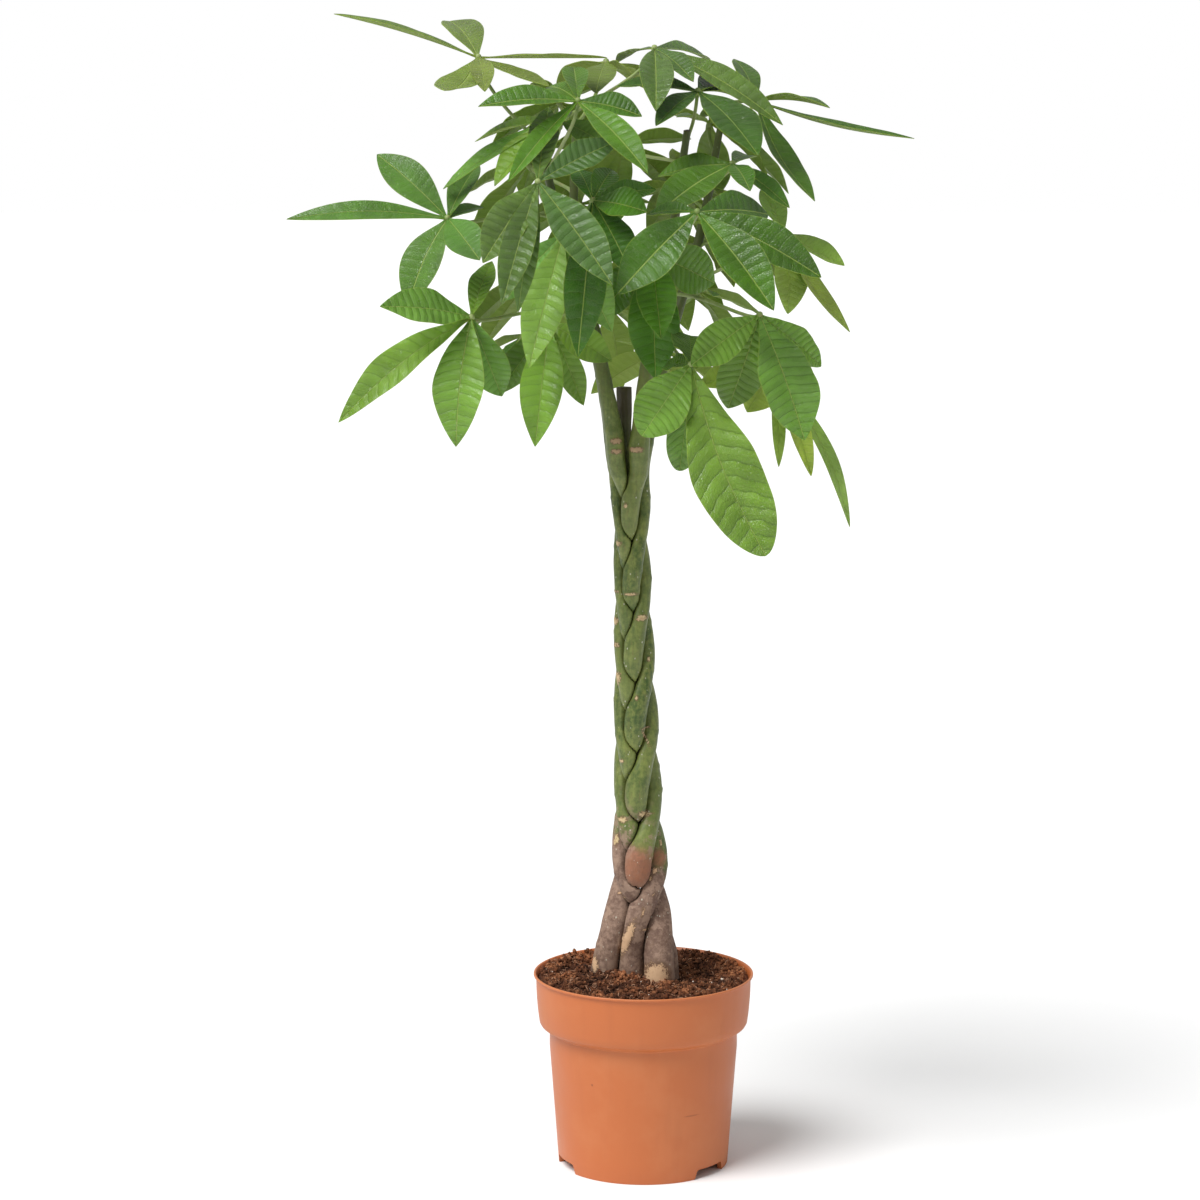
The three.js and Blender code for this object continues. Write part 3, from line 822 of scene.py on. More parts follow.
@dataclass(frozen=True)
class Blade:
    """A leaflet's skin: glossy and quilted between its veins above, with painted shade in the grooves of the
    side veins, and dull and paler beneath, partly its own paler green and partly painted light shining
    through.

    The veins follow the leaflet's own map, so they stand at the same angle on a long leaflet and on a
    short one.
    """

    face: Side
    rib: Colour = linear(164, 186, 96)
    vein: Colour = linear(120, 150, 62)
    # painted shade in the grooves of the side veins
    painted_groove_shade: Colour = (0.012, 0.04, 0.004)
    margin: Colour = linear(140, 158, 66)
    # the underside's paler green, partly its own colour and partly painted light shining through the leaf
    under: Colour = linear(122, 140, 50)
    glow: float = 0.35
    depth: float = 0.002
    glow_reach: Colour = (0.7, 1.0, 0.25)
    slant: float = 0.2
    curl: float = 0.035
    uneven: float = 0.7
    stagger: float = 0.45
    net: float = 5.0

    @property
    def upper(self) -> bool:
        """Whether this is the upper side."""
        return self.face is Side.UPPER

    def make(self) -> Material:
        """Wire the finish.

        Returns:
            The material.
        """
        s = Shades(self.face.value)
        veins = self.veins(s)
        normal = s.bump(self.relief(s, veins), 2.2 if self.upper else 1.2)
        rough = s.band(s.noise(40, 2), 0.3, 0.7, 0.27, 0.4) if self.upper else 0.6
        return s.wear(
            self.colour(s, veins), rough, normal, Specular_IOR_Level=0.42 if self.upper else 0.25,
            Subsurface_Weight=self.glow, Subsurface_Scale=self.depth, Subsurface_Radius=self.glow_reach,
        )

    def veins(self, s: Shades) -> Veins:
        """Return where the veins run, staggered on the two sides of the midrib.

        Args:
            s: the material's shades.

        Returns:
            The veins.
        """
        map_place = s.node("UVMap", uv_map="leaf_map").outputs[0]
        parts = s.node("SeparateXYZ", {0: map_place}).outputs
        from_rib = s.math("ABSOLUTE", s.times(s.less(parts[0], 0.5), VEIN_STEPS))
        leaning = s.times(from_rib, s.plus(s.times(from_rib, self.curl), self.slant))
        stagger = s.times(s.math("GREATER_THAN", parts[0], 0.5), self.stagger)
        on = s.plus(s.times(parts[1], VEIN_STEPS), s.stray(48, self.uneven, 2))
        near = s.math("PINGPONG", s.plus(s.less(on, leaning), stagger), 0.5)
        cells = {"Vector": map_place, "Scale": VEIN_STEPS * self.net}
        net = s.node("TexVoronoi", cells, feature="DISTANCE_TO_EDGE").outputs["Distance"]
        side, rib = s.band(near, 0.02, 0.085, 1, 0), s.band(from_rib, 0.035, 0.085, 1, 0)
        return Veins(near, side, rib, s.band(net, 0.0, 0.16))

    def colour(self, s: Shades, veins: Veins) -> Socket:
        """Return the leaf's own green with its veins and its margin, with painted shade in the side veins'
        grooves above, and beneath a paler green that is partly painted light shining through.

        Args:
            s: the material's shades.
            veins: where the veins run.

        Returns:
            The colour.
        """
        colour = s.attribute("tint", "Color")
        patches = s.band(s.noise(24, 3), 0.3, 0.7, 0.78, 1.2)
        grey = s.node("CombineColor", {0: patches, 1: patches, 2: patches}).outputs[0]
        colour = s.blend(1.0, colour, grey, "MULTIPLY")
        if self.upper:
            quilted = s.math("POWER", s.attribute("tint", "Alpha"), 0.8)
            # painted shade in the grooves of the side veins, deeper on the more quilted leaves
            painted_groove_shade = s.times(s.band(veins.near, 0.0, 0.12, 0.25, 0), quilted)
            colour = s.blend(painted_groove_shade, colour, self.painted_groove_shade)
        colour = s.blend(s.times(veins.side, 0.1 if self.upper else 0.4), colour, self.vein)
        colour = s.blend(s.less(0.08, s.times(veins.between, 0.08)), colour, self.vein)
        colour = s.blend(s.times(veins.rib, 0.6), colour, self.rib)
        colour = s.blend(s.band(s.attribute("margin"), 0.95, 0.99, 0, 0.35), colour, self.margin)
        # beneath: the paler green, partly the underside's own colour and partly painted light shining
        # through
        return colour if self.upper else s.blend(0.6, colour, self.under)

    def relief(self, s: Shades, veins: Veins) -> Socket:
        """Return the height of the quilted skin, whose veins are sunk above and raised beneath.

        Args:
            s: the material's shades.
            veins: where the veins run.

        Returns:
            The height, about 0 to 1.
        """
        pillow = s.math("POWER", s.times(veins.near, 2.0), 0.55)
        swell = pillow if self.upper else s.less(1.0, pillow)
        quilted = s.plus(s.times(s.attribute("tint", "Alpha"), 0.9), 0.1)
        height = s.plus(s.times(swell, quilted), s.times(veins.between, 0.12))
        return s.plus(height, s.times(veins.rib, -0.5 if self.upper else 1.2))


@dataclass(frozen=True)
class StudioFloor:
    """Matt white studio floor."""

    white: Colour = (0.9, 0.9, 0.9)

    def make(self) -> Material:
        """Wire the finish.

        Returns:
            The material.
        """
        s = Shades("studio_floor")
        colour = s.blend(s.band(s.noise(2, 2), 0.3, 0.7, 0, 0.04), self.white, (0.8, 0.8, 0.8))
        return s.wear(colour, 0.7)


# ---- Pot ----
@dataclass
class Pot:
    """A nursery pot with a deep collar, a thin lip, three notches in its foot and drain holes."""

    height: float = 212
    rim_radius: float = 120
    lip: float = 2.6
    collar_radius: float = 117.5
    collar_foot_radius: float = 113.6
    collar_foot: float = 158
    shoulder: float = 149
    body_top_radius: float = 104
    base_radius: float = 92.8
    wall: float = 2.2
    foot_width: float = 5
    floor_under: float = 11
    floor: float = 2.5
    pad_radius: float = 30
    pad_top_radius: float = 34
    dish_radius: float = 29
    dish_top_radius: float = 33
    groove: float = 1.3
    body_rings: tuple[float, ...] = (22, 60, 104, 132)
    collar_swell: tuple[Span, ...] = ((164, 0.5), (172, 0.9), (184, 1.0), (196, 0.7), (204, 0.2))
    notches: int = 3
    notch_arc: float = 31
    notch_height: float = 10.5
    notch_depth: float = 22
    notch_first: float = -38.5
    notch_spread: float = 1.12
    notch_narrows: float = 0.76
    notch_rounding: float = 2.4
    drains: int = 6
    drain_radius: float = 6
    drain_ring: float = 62
    drain_cut: float = 20
    sides: int = 144
    rounding: float = 0.8
    sharp: float = 28
    plastic: PotPlastic = field(default_factory=PotPlastic)

    @property
    def floor_top(self) -> float:
        """Height of the floor's upper face."""
        return self.floor_under + self.floor

    @property
    def collar_slope(self) -> float:
        """How much wider the collar gets in each millimetre upwards."""
        rise = self.height - self.lip - self.collar_foot
        return (self.collar_radius - self.collar_foot_radius) / rise

    def outer_radius(self, z: float) -> float:
        """Return the body's radius at a height below the shoulder."""
        return mix(self.base_radius, self.body_top_radius, z / self.shoulder)

    def ledge(self) -> list[Span]:
        """Return the step from the body to the collar, with a groove under it and rounded corners.

        Returns:
            Radii and heights, upwards.
        """
        return [
            (self.body_top_radius - self.groove, self.shoulder + 0.6),
            (self.body_top_radius + 0.6, self.shoulder + 1.9),
            (self.body_top_radius + 3, self.shoulder + 3.2),
            (self.collar_foot_radius - 1.6, self.collar_foot - 2.8),
            (self.collar_foot_radius + 0.1, self.collar_foot + 0.2),
        ]

    def profile(self) -> list[Span]:
        """Return the wall's outline as radii and heights: outwards, up, over the lip, down inside.

        Returns:
            The radius and height of each ring.
        """
        w = self.wall
        collar = [
            (self.collar_foot_radius + self.collar_slope * (z - self.collar_foot) + swell, z)
            for z, swell in self.collar_swell
        ]
        return [
            (self.pad_radius, 0),
            (self.pad_top_radius, self.floor_under),
            (self.base_radius - self.foot_width, self.floor_under),
            (self.base_radius - self.foot_width, 0),
            (self.base_radius, 0),
            *[(self.outer_radius(z), z) for z in self.body_rings],
            *self.ledge(),
            *collar,
            (self.collar_radius, self.height - self.lip),
            (self.rim_radius, self.height - self.lip),
            (self.rim_radius, self.height),
            (self.rim_radius - w, self.height),
            (self.collar_radius - w, self.height - self.lip - w),
            (self.collar_foot_radius - w, self.collar_foot + w),
            (self.body_top_radius - w, self.shoulder + w),
            (self.outer_radius(self.floor_top) - w, self.floor_top),
            (self.dish_top_radius, self.floor_top),
            (self.dish_radius, self.floor),
        ]

    def turn_body(self) -> Piece:
        """Draw the wall up from the pad's rim and close it over the dish.

        Returns:
            The pot without its notches and holes.
        """
        Bench.clear()
        bpy.ops.mesh.primitive_circle_add(
            vertices=self.sides, radius=self.pad_radius * MM, fill_type="TRIFAN", location=(0, 0, 0)
        )
        body = bpy.context.object
        body.name = body.data.name = "nursery_pot"
        Bench.edit(body)
        bpy.ops.mesh.select_non_manifold()
        Bench.draw_rings(self.profile())
        bpy.ops.mesh.extrude_edges_move()
        bpy.ops.mesh.merge(type="CENTER")
        Bench.outward(body)
        Bench.modify(
            body, "BEVEL", width=self.rounding * MM, segments=3, limit_method="ANGLE",
            angle_limit=math.radians(self.sharp), harden_normals=False,
        )
        return body

    def cut_notches(self, body: Piece) -> None:
        """Cut the water notches out of the foot with a block that narrows upwards to rounded corners.

        Args:
            body: the pot.
        """
        reach = self.base_radius
        wide = 2 * reach * math.sin(math.radians(self.notch_arc / 2)) * self.notch_spread
        narrow = self.notch_narrows
        for i in range(self.notches):
            angle = math.radians(self.notch_first + 360 / self.notches * i)
            x, y = reach * math.cos(angle) * MM, reach * math.sin(angle) * MM
            Bench.clear()
            bpy.ops.mesh.primitive_cube_add(size=1)
            block = bpy.context.object
            block.scale = (self.notch_depth * MM, wide * MM, 2 * self.notch_height * MM)
            block.rotation_euler = (0, 0, angle)
            block.location = (x, y, 0)
            bpy.ops.object.transform_apply(location=True, rotation=True, scale=True)
            Bench.edit(block, "FACE")
            bpy.ops.object.mode_set(mode="OBJECT")
            for face in block.data.polygons:
                face.select = face.normal.z > 0.9
            bpy.ops.object.mode_set(mode="EDIT")
            top = (x, y, self.notch_height * MM)
            bpy.ops.transform.resize(value=(narrow, narrow, 1), center_override=top)
            Bench.clear()
            Bench.modify(
                block, "BEVEL", width=self.notch_rounding * MM, segments=4, limit_method="ANGLE"
            )
            self.take_away(body, block)

    def drill_drains(self, body: Piece) -> None:
        """Drill the ring of drain holes through the floor.

        Args:
            body: the pot.
        """
        for i in range(self.drains):
            a = math.radians((i + 0.5) * 360 / self.drains)
            at = (self.drain_ring * math.cos(a) * MM, self.drain_ring * math.sin(a) * MM)
            Bench.clear()
            bpy.ops.mesh.primitive_cylinder_add(
                vertices=32, radius=self.drain_radius * MM, depth=self.drain_cut * MM,
                location=(*at, self.floor_top * MM),
            )
            self.take_away(body, bpy.context.object)

    @staticmethod
    def take_away(body: Piece, tool: Piece) -> None:
        """Cut a tool's shape out of the body and remove the tool."""
        Bench.modify(body, "BOOLEAN", object=tool, operation="DIFFERENCE", solver="EXACT")
        bpy.data.objects.remove(tool)

    def build(self) -> Piece:
        """Make the pot, give it its plastic and let it stand for the CAD pot.

        Returns:
            The finished pot.
        """
        body = self.turn_body()
        self.cut_notches(body)
        self.drill_drains(body)
        body.data.materials.clear()
        body.data.materials.append(self.plastic.make())
        Bench.finish(body, ["pot"], "pot", angle=32)
        return body


# ---- Soil ----
@dataclass(frozen=True)
class Heap:
    """A rise or a fall of the soil."""

    height: float
    x: float
    y: float
    spread: float

    def at(self, x: float, y: float) -> float:
        """Return its height at a place."""
        return self.height * math.exp(-((x - self.x) ** 2 + (y - self.y) ** 2) / (2 * self.spread**2))


@dataclass
class Soil:
    """The peat in the pot: a lumpy top, loose crumbs, white perlite and fibres.

    Lumps and grit are heights and sizes, and the bank is how far the soil rises against the wall.
    """

    pot: Pot
    edge: float = 206
    heaps: tuple[Heap, ...] = (Heap(10, -34, 0, 34), Heap(-12, 62, 20, 22), Heap(-8, -50, 56, 18))
    sides: int = 240
    ring_step: float = 1.5
    crumbs: int = 6000
    grains: int = 46
    fibres: int = 760
    crumb_sizes: Span = (0.8, 7.0)
    grain_sizes: Span = (1.4, 3.4)
    fibre_lengths: Span = (2.5, 10)
    fibre_radii: Span = (0.22, 0.62)
    fibre_joints: int = 6
    lumps: Span = (5.2, 23)
    grit: Span = (1.4, 3.8)
    bank: float = 5.5
    bank_from: Span = (84, 108)
    bank_in_front: float = 0.25
    front: float = 80
    gap: float = 0.3
    seed: int = 11

    @property
    def brim(self) -> float:
        """The soil's radius at its edge.

        Returns:
            The radius, a gap short of the wall.
        """
        pot = self.pot
        rise = pot.collar_slope * (self.edge - pot.collar_foot) * 0.9
        return pot.collar_foot_radius - pot.wall - self.gap + rise

    def level(self, x: float, y: float) -> float:
        """Return the soil's height at a place, without its lumps."""
        return self.edge + sum(heap.at(x, y) for heap in self.heaps)

    def lumpy(self, x: float, y: float) -> float:
        """Return the soil's height with its lumps.

        Args:
            x: the place to the right.
            y: the place to the back.

        Returns:
            The height.
        """
        at = Vector((x, y, 3.0))
        (lump, lump_size), (grit, grit_size) = self.lumps, self.grit
        rough = lump * noise.fractal(at / lump_size, 0.9, 2.1, 4) + grit * noise.noise(at / grit_size)
        in_front = mix(1.0, self.bank_in_front, smooth(0, self.front, -y))
        bank = self.bank * smooth(*self.bank_from, math.hypot(x, y)) * in_front
        return self.level(x, y) + rough + bank

    def build_body(self, peat: Material) -> Piece:
        """Draw the body of soil up from the dish and lay out its lumpy top.

        Args:
            peat: its finish.

        Returns:
            The finished soil.
        """
        pot = self.pot
        w = pot.wall + self.gap
        outline = [
            (pot.dish_radius - self.gap, pot.floor + self.gap),
            (pot.dish_top_radius - self.gap, pot.floor_top + self.gap),
            (pot.outer_radius(pot.floor_top) - w - 0.4, pot.floor_top + self.gap),
            (pot.body_top_radius - w, pot.shoulder + pot.wall),
            (pot.collar_foot_radius - w, pot.collar_foot + pot.wall + 0.5),
            (self.brim, self.edge),
        ]
        count = int((self.brim - 3) / self.ring_step)
        top = [(self.brim - self.ring_step * (i + 1), self.edge) for i in range(count)]
        Bench.clear()
        bpy.ops.mesh.primitive_circle_add(
            vertices=self.sides, radius=outline[0][0] * MM, fill_type="TRIFAN",
            location=(0, 0, outline[0][1] * MM),
        )
        body = bpy.context.object
        body.name = body.data.name = "peat_body"
        bpy.ops.object.transform_apply(location=True)
        Bench.edit(body)
        bpy.ops.mesh.select_non_manifold()
        Bench.draw_rings(outline + top)
        bpy.ops.mesh.extrude_edges_move()
        bpy.ops.mesh.merge(type="CENTER")
        Bench.outward(body)
        points = Bench.points(body)
        for p in points:
            r = math.hypot(p[0], p[1])
            if p[2] > self.edge - 0.5 and r < self.brim - 0.5:
                p[2] = mix(self.edge, self.lumpy(p[0], p[1]), smooth(0, 4, self.brim - r))
        Bench.place(body, points)
        # painted shade and light: the height above the soil's level, stored as tone, darkens the hollows and
        # lightens the heaps
        rise = np.array([p[2] - self.level(p[0], p[1]) for p in points])
        Bench.paint(body, "tone", np.clip(0.32 + 0.09 * rise, 0, 0.8))
        body.data.materials.clear()
        body.data.materials.append(peat)
        Bench.finish(body, ["soil"], "soil", angle=40)
        return body

    @staticmethod
    def model_lump(seed: int) -> tuple[np.ndarray, np.ndarray]:
        """Model one rough lump of radius 1 and return its points and faces.

        Args:
            seed: for its roughness.

        Returns:
            One row of x, y and z for each point, and the faces.
        """
        Bench.clear()
        bpy.ops.mesh.primitive_ico_sphere_add(subdivisions=1, radius=1)
        lump = bpy.context.object
        Bench.edit(lump, "VERT")
        bpy.ops.mesh.select_all(action="SELECT")
        bpy.ops.transform.vertex_random(offset=0.45, seed=seed)
        Bench.clear()
        shape = Bench.points(lump) * MM
        faces = np.array([tuple(f.vertices) for f in lump.data.polygons])
        bpy.data.objects.remove(lump)
        return shape, faces

    def scatter(
        self, name: str, count: int, sizes: Span, sink: float, material: Material, seed: int
    ) -> Piece:
        """Model one lump and lay many copies of it on the soil.

        Args:
            name: the piece's name.
            count: how many lumps.
            sizes: the smallest and the largest lump, across.
            sink: how deep a lump sits, of its size.
            material: its finish.
            seed: for the places, sizes and turns.

        Returns:
            The piece with all the lumps.
        """
        pick = random.Random(seed)
        shape, faces = self.model_lump(seed)
        points, all_faces, tones = [], [], []
        for i in range(count):
            r = (self.brim - 3) * math.sqrt(pick.random())
            a = pick.uniform(0, 2 * math.pi)
            size = mix(sizes[0], sizes[1], pick.random() ** 3.2) / 2
            stretch = np.array([pick.uniform(*span) for span in ((0.7, 1.5), (0.6, 1.2), (0.5, 1.0))])
            turn = Euler([pick.uniform(0, 6.28) for _ in range(3)]).to_matrix()
            x, y = r * math.cos(a), r * math.sin(a)
            at = np.array([x, y, self.lumpy(x, y) + size * (0.9 - sink)])
            points.append((shape * size * stretch) @ np.array(turn).T + at)
            all_faces.append(faces + len(shape) * i)
            # a random tone, plus painted light on crumbs that lie high and painted shade on those that lie
            # low
            tone = 0.1 + 0.07 * (at[2] - self.level(x, y)) + 0.5 * pick.random()
            tones.append(np.full(len(shape), min(1.0, max(0.0, tone))))
        made = Bench.mesh(name, np.vstack(points), np.vstack(all_faces).tolist())
        Bench.paint(made, "tone", np.concatenate(tones))
        made.data.materials.append(material)
        Bench.finish(made, [], "soil", angle=70)
        return made

    def fibre_line(self, pick: random.Random) -> tuple[list[Place], list[float], float]:
        """Return a short curled fibre's joints on the soil, their headings and its radius.

        Args:
            pick: for its place and shape.

        Returns:
            The joints, the headings and the radius.
        """
        r = (self.brim - 6) * math.sqrt(pick.random())
        a = pick.uniform(0, 2 * math.pi)
        x, y = r * math.cos(a), r * math.sin(a)
        heading, bend = pick.uniform(0, 6.28), pick.uniform(-0.5, 0.5)
        length = pick.uniform(*self.fibre_lengths)
        thick = pick.uniform(*self.fibre_radii)
        rise = pick.uniform(0.0, 0.35)
        line, headings = [], []
        for j in range(self.fibre_joints):
            heading += bend
            x += math.cos(heading) * length / self.fibre_joints
            y += math.sin(heading) * length / self.fibre_joints
            if math.hypot(x, y) > self.brim - 3:
                x, y = x * 0.97, y * 0.97
            hump = math.sin(math.pi * j / (self.fibre_joints - 1))
            line.append((x, y, self.lumpy(x, y) + 0.6 + rise * length * hump * 0.6))
            headings.append(heading)
        return line, headings, thick

    def lay_fibres(self, material: Material) -> Piece:
        """Lay short curled fibres on the soil, each a thin three-sided thread.

        Args:
            material: their finish.

        Returns:
            The finished fibres.
        """
        pick = random.Random(self.seed + 3)
        points, faces = [], []
        for _ in range(self.fibres):
            first = len(points)
            line, headings, thick = self.fibre_line(pick)
            for (x, y, z), heading in zip(line, headings):
                for c in range(3):
                    turn = 2 * math.pi * c / 3
                    out, up = math.cos(turn) * thick, math.sin(turn) * thick
                    points.append((x - math.sin(heading) * out, y + math.cos(heading) * out, z + up))
            for low in range(first, first + 3 * (self.fibre_joints - 1), 3):
                sides = ((low + c, low + (c + 1) % 3) for c in range(3))
                faces += [(a, b, b + 3, a + 3) for a, b in sides]
            last = first + 3 * (self.fibre_joints - 1)
            faces += [(first + 2, first + 1, first), (last, last + 1, last + 2)]
        made = Bench.mesh("root_fibres", np.array(points), faces)
        Bench.outward(made, 1e-7)
        made.data.materials.append(material)
        Bench.finish(made, [], "soil")
        return made

    def build(self) -> None:
        """Make the body of soil and what lies on it."""
        peat = Peat().make()
        self.build_body(peat)
        self.scatter("peat_crumbs", self.crumbs, self.crumb_sizes, 0.5, peat, self.seed)
        perlite = Perlite().make()
        self.scatter("perlite_grains", self.grains, self.grain_sizes, 0.3, perlite, self.seed + 1)
        self.lay_fibres(RootFibre().make())


# ---- Trunk ----
class Stem(IntEnum):
    """The five stems, by where they go above the braid."""

    LEFT_FRONT = 0
    RIGHT_BACK = 1
    RIGHT_FRONT = 2
    STUMP = 3
    LEFT_BACK = 4


@dataclass(frozen=True)
class Scar:
    """A bud scar or a healed patch on the trunk, by its place and half its size.

    Side is -1 in front and 1 behind, tilt turns it to the right in degrees, and strand is the only
    stem that carries it, or none for whichever lies there.
    """

    x: float
    z: float
    wide: float
    high: float
    side: float = -1.0
    tilt: float = 0.0
    strand: Stem | None = None

    def on(self, points: np.ndarray, k: int) -> np.ndarray:
        """Return how much of it each point of strand k carries, 0 to 1.

        Args:
            points: the strand's points.
            k: the strand.

        Returns:
            One share for each point.
        """
        if self.strand not in (None, k):
            return np.zeros(len(points))
        c, s = math.cos(math.radians(self.tilt)), math.sin(math.radians(self.tilt))
        x, z = points[:, 0] - self.x, points[:, 2] - self.z
        spread = ((x * c - z * s) / self.wide) ** 2 + ((x * s + z * c) / self.high) ** 2
        return np.exp(-(spread**1.3)) * (np.sign(points[:, 1]) == np.sign(self.side))


@dataclass
class Braid:
    """Five stems woven into one trunk, whose tops run free as the shoots that carry the leaves.

    A strand goes from side to side by its swing, lingering at the sides, and to the front and back by
    its weave, which lags behind and is deeper at one side by over. The flat braid is turned to the
    left. Between the heights of foot the strands leave their roots, and between those of head they
    part for the shoots. Roots are x and y, and the rows of shoots are height, x and y.
    """

    strands: int = len(Stem)
    pitch: float = 384
    rightmost: float = 638
    swing: float = 12
    linger: float = 0.11
    weave: float = 12
    lag: float = 0.6
    over: float = 2
    turned: float = 15
    pressed: float = 0.2
    overlap: float = 0.4
    outer_by: float = 9
    foot: Span = (205, 330)
    head: Span = (735, 790)
    root_end: float = 150
    # painted shade on the stump: the height over which it darkens, and its darkest, which every strand's end
    # ring shares
    stump_shade_fade: float = 45
    stump_shade_and_end_ring: float = 0.85
    ages: tuple[float, ...] = (0.55, 0.2, 0.8, 0.35, 0.0)
    lean_x: float = -3
    lean_at: float = 211
    lean_slope: float = -14 / 574
    sides: int = 44
    step: float = 2.6
    roundness: float = 5.2
    foot_roundness: float = 9
    foot_round_to: Span = (270, 350)
    overlap_from: Span = (230, 290)
    seed: int = 40
    joints: int = 14
    joint_spacing: Span = (40, 78)
    joint_swell: float = 0.55
    joint_high: float = 2.6
    bumps: float = 0.5
    ripples: float = 0.22
    scar_swell: float = 0.9
    roots: list[Row] = field(default_factory=lambda: [(17, -16), (-12, -3), (-22, 32), (-41, 4), (22, 16)])
    girth: list[Row] = field(
        default_factory=lambda: [
            (150, 16.2), (215, 17.0), (350, 14.7), (400, 13.2), (500, 11.9), (600, 10.5), (690, 9.9),
            (760, 10.6), (792, 11.6), (812, 9.8), (885, 7.6), (1000, 5.2), (1135, 3.6),
        ]
    )
    spread: list[Row] = field(
        default_factory=lambda: [
            (310, 1.18), (350, 1.14), (400, 1), (500, 0.92), (600, 0.8), (690, 0.74), (790, 0.92),
        ]
    )
    shoots: list[list[Row]] = field(
        default_factory=lambda: [
            [(790, -29, -10), (893, -51, -12), (1000, -84, -22), (1125, -112, -36)],
            [(790, -2, 15), (893, 24, 46), (1000, 58, 72), (1135, 84, 88)],
            [(790, -6, -14), (893, 5, -12), (1000, 26, -28), (1125, 44, -30)],
            [(790, -22, 9), (852, -22, 10)],
            [(790, -31, 12), (893, -50, 40), (1000, -74, 76), (1135, -74, 100)],
        ]
    )
    scars: list[Scar] = field(
        default_factory=lambda: [
            Scar(-30, 797, 6, 3), Scar(-30, 786, 6, 2.5), Scar(-9, 788, 8, 3), Scar(-30, 686, 5.5, 3.2),
            Scar(-31, 633, 6, 0.9), Scar(-14, 632, 7, 0.9), Scar(-3, 606, 6, 3), Scar(-30, 575, 4, 2),
            Scar(-28.5, 541, 3.6, 5.5), Scar(-29, 534, 2, 4), Scar(5, 560, 1.8, 2.4), Scar(0, 485, 6, 1.3),
            Scar(2, 474, 1.1, 11, tilt=-27), Scar(-8, 520, 2, 2.4), Scar(-23, 386, 5.5, 3.4),
            Scar(-31, 361, 4.6, 7), Scar(-33, 377, 4, 5), Scar(0, 392, 6.5, 3.4), Scar(7, 391, 7, 0.8),
            Scar(19, 358, 2, 6), Scar(18, 372, 2, 2.4), Scar(12, 328, 2.7, 3.2),
            Scar(7.5, 320, 1.9, 3.4, tilt=20),
            Scar(10, 303, 1.2, 1.3), Scar(-1, 285, 1.3, 6, tilt=8), Scar(3, 265, 7, 0.8),
            Scar(-26, 301, 10, 0.9, tilt=27), Scar(-18, 254, 5, 22, tilt=19), Scar(14, 215, 13, 15),
            Scar(-53, 222, 3.4, 9), Scar(-20, 728, 2, 2.4), Scar(-24, 450, 2.4, 2),
            Scar(-12, 690, 7, 3, 1), Scar(-30, 600, 5, 4, 1), Scar(4, 540, 4, 6, 1), Scar(-22, 470, 7, 3, 1),
            Scar(0, 400, 6, 8, 1), Scar(-26, 330, 5, 12, 1), Scar(8, 262, 4, 14, 1), Scar(-18, 760, 7, 4, 1),
        ]
    )
    blushes: list[Scar] = field(
        default_factory=lambda: [
            Scar(-6, 334, 20, 25, strand=Stem.RIGHT_FRONT),
            Scar(17, 341, 9, 11, strand=Stem.RIGHT_BACK),
            Scar(14, 216, 15, 12), Scar(-16, 350, 12, 24, 1), Scar(10, 300, 10, 22, 1),
        ]
    )

    def top(self, k: int) -> float:
        """Return the height of a strand's end."""
        return self.shoots[k][-1][0]

    def centre(self, k: int, z: float) -> np.ndarray:
        """Return the middle of a strand at a height.

        Args:
            k: the strand.
            z: the height.

        Returns:
            x and y.
        """
        turn = math.pi / 2 + 2 * math.pi * (self.rightmost - z) / self.pitch
        angle = turn + 2 * math.pi * k / self.strands
        wide = along(self.spread, z)
        sideways = wide * self.swing * (math.sin(angle) - self.linger * math.sin(3 * angle))
        deep = wide * (self.weave * math.sin(2 * angle - self.lag) + self.over * math.cos(angle))
        c, s = math.cos(math.radians(self.turned)), math.sin(math.radians(self.turned))
        x = self.lean_x + self.lean_slope * (z - self.lean_at) + sideways * c + deep * s
        y = deep * c - sideways * s
        up, down = smooth(*self.head, z), 1 - smooth(*self.foot, z)
        x = mix(mix(x, curved(self.shoots[k], z, 1), up), self.roots[k][0], down)
        y = mix(mix(y, curved(self.shoots[k], z, 2), up), self.roots[k][1], down)
        return np.array([x, y])

    def outer(self, k: int, z: float) -> float:
        """Return how far a strand's middle stands from the trunk's own."""
        middle = sum(self.centre(other, z) for other in range(self.strands)) / self.strands
        return float(np.linalg.norm(self.centre(k, z) - middle))

    def ring(self, k: int, z: float, out: np.ndarray) -> np.ndarray:
        """Return how far a strand's skin stands from its middle, each way round.

        Args:
            k: the strand.
            z: the height.
            out: the directions, one row each.

        Returns:
            One distance for each direction: the girth, less where neighbours press on it.
        """
        centre = self.centre(k, z)
        power = mix(self.foot_roundness, self.roundness, smooth(*self.foot_round_to, z))
        inverse = np.full(len(out), along(self.girth, z) ** -power)
        overlap = self.overlap * smooth(*self.overlap_from, z)
        for other in range(self.strands):
            if other == k or z > self.top(other):
                continue
            way = self.centre(other, z) - centre
            apart = np.linalg.norm(way)
            facing = np.maximum(0, out @ (way / apart))
            lead = smooth(-self.outer_by, self.outer_by, self.outer(k, z) - self.outer(other, z))
            share = 0.5 + overlap * (lead - 0.5)
            inverse += (facing / (apart * share - self.pressed / 2)) ** power
        return inverse ** (-1 / power)

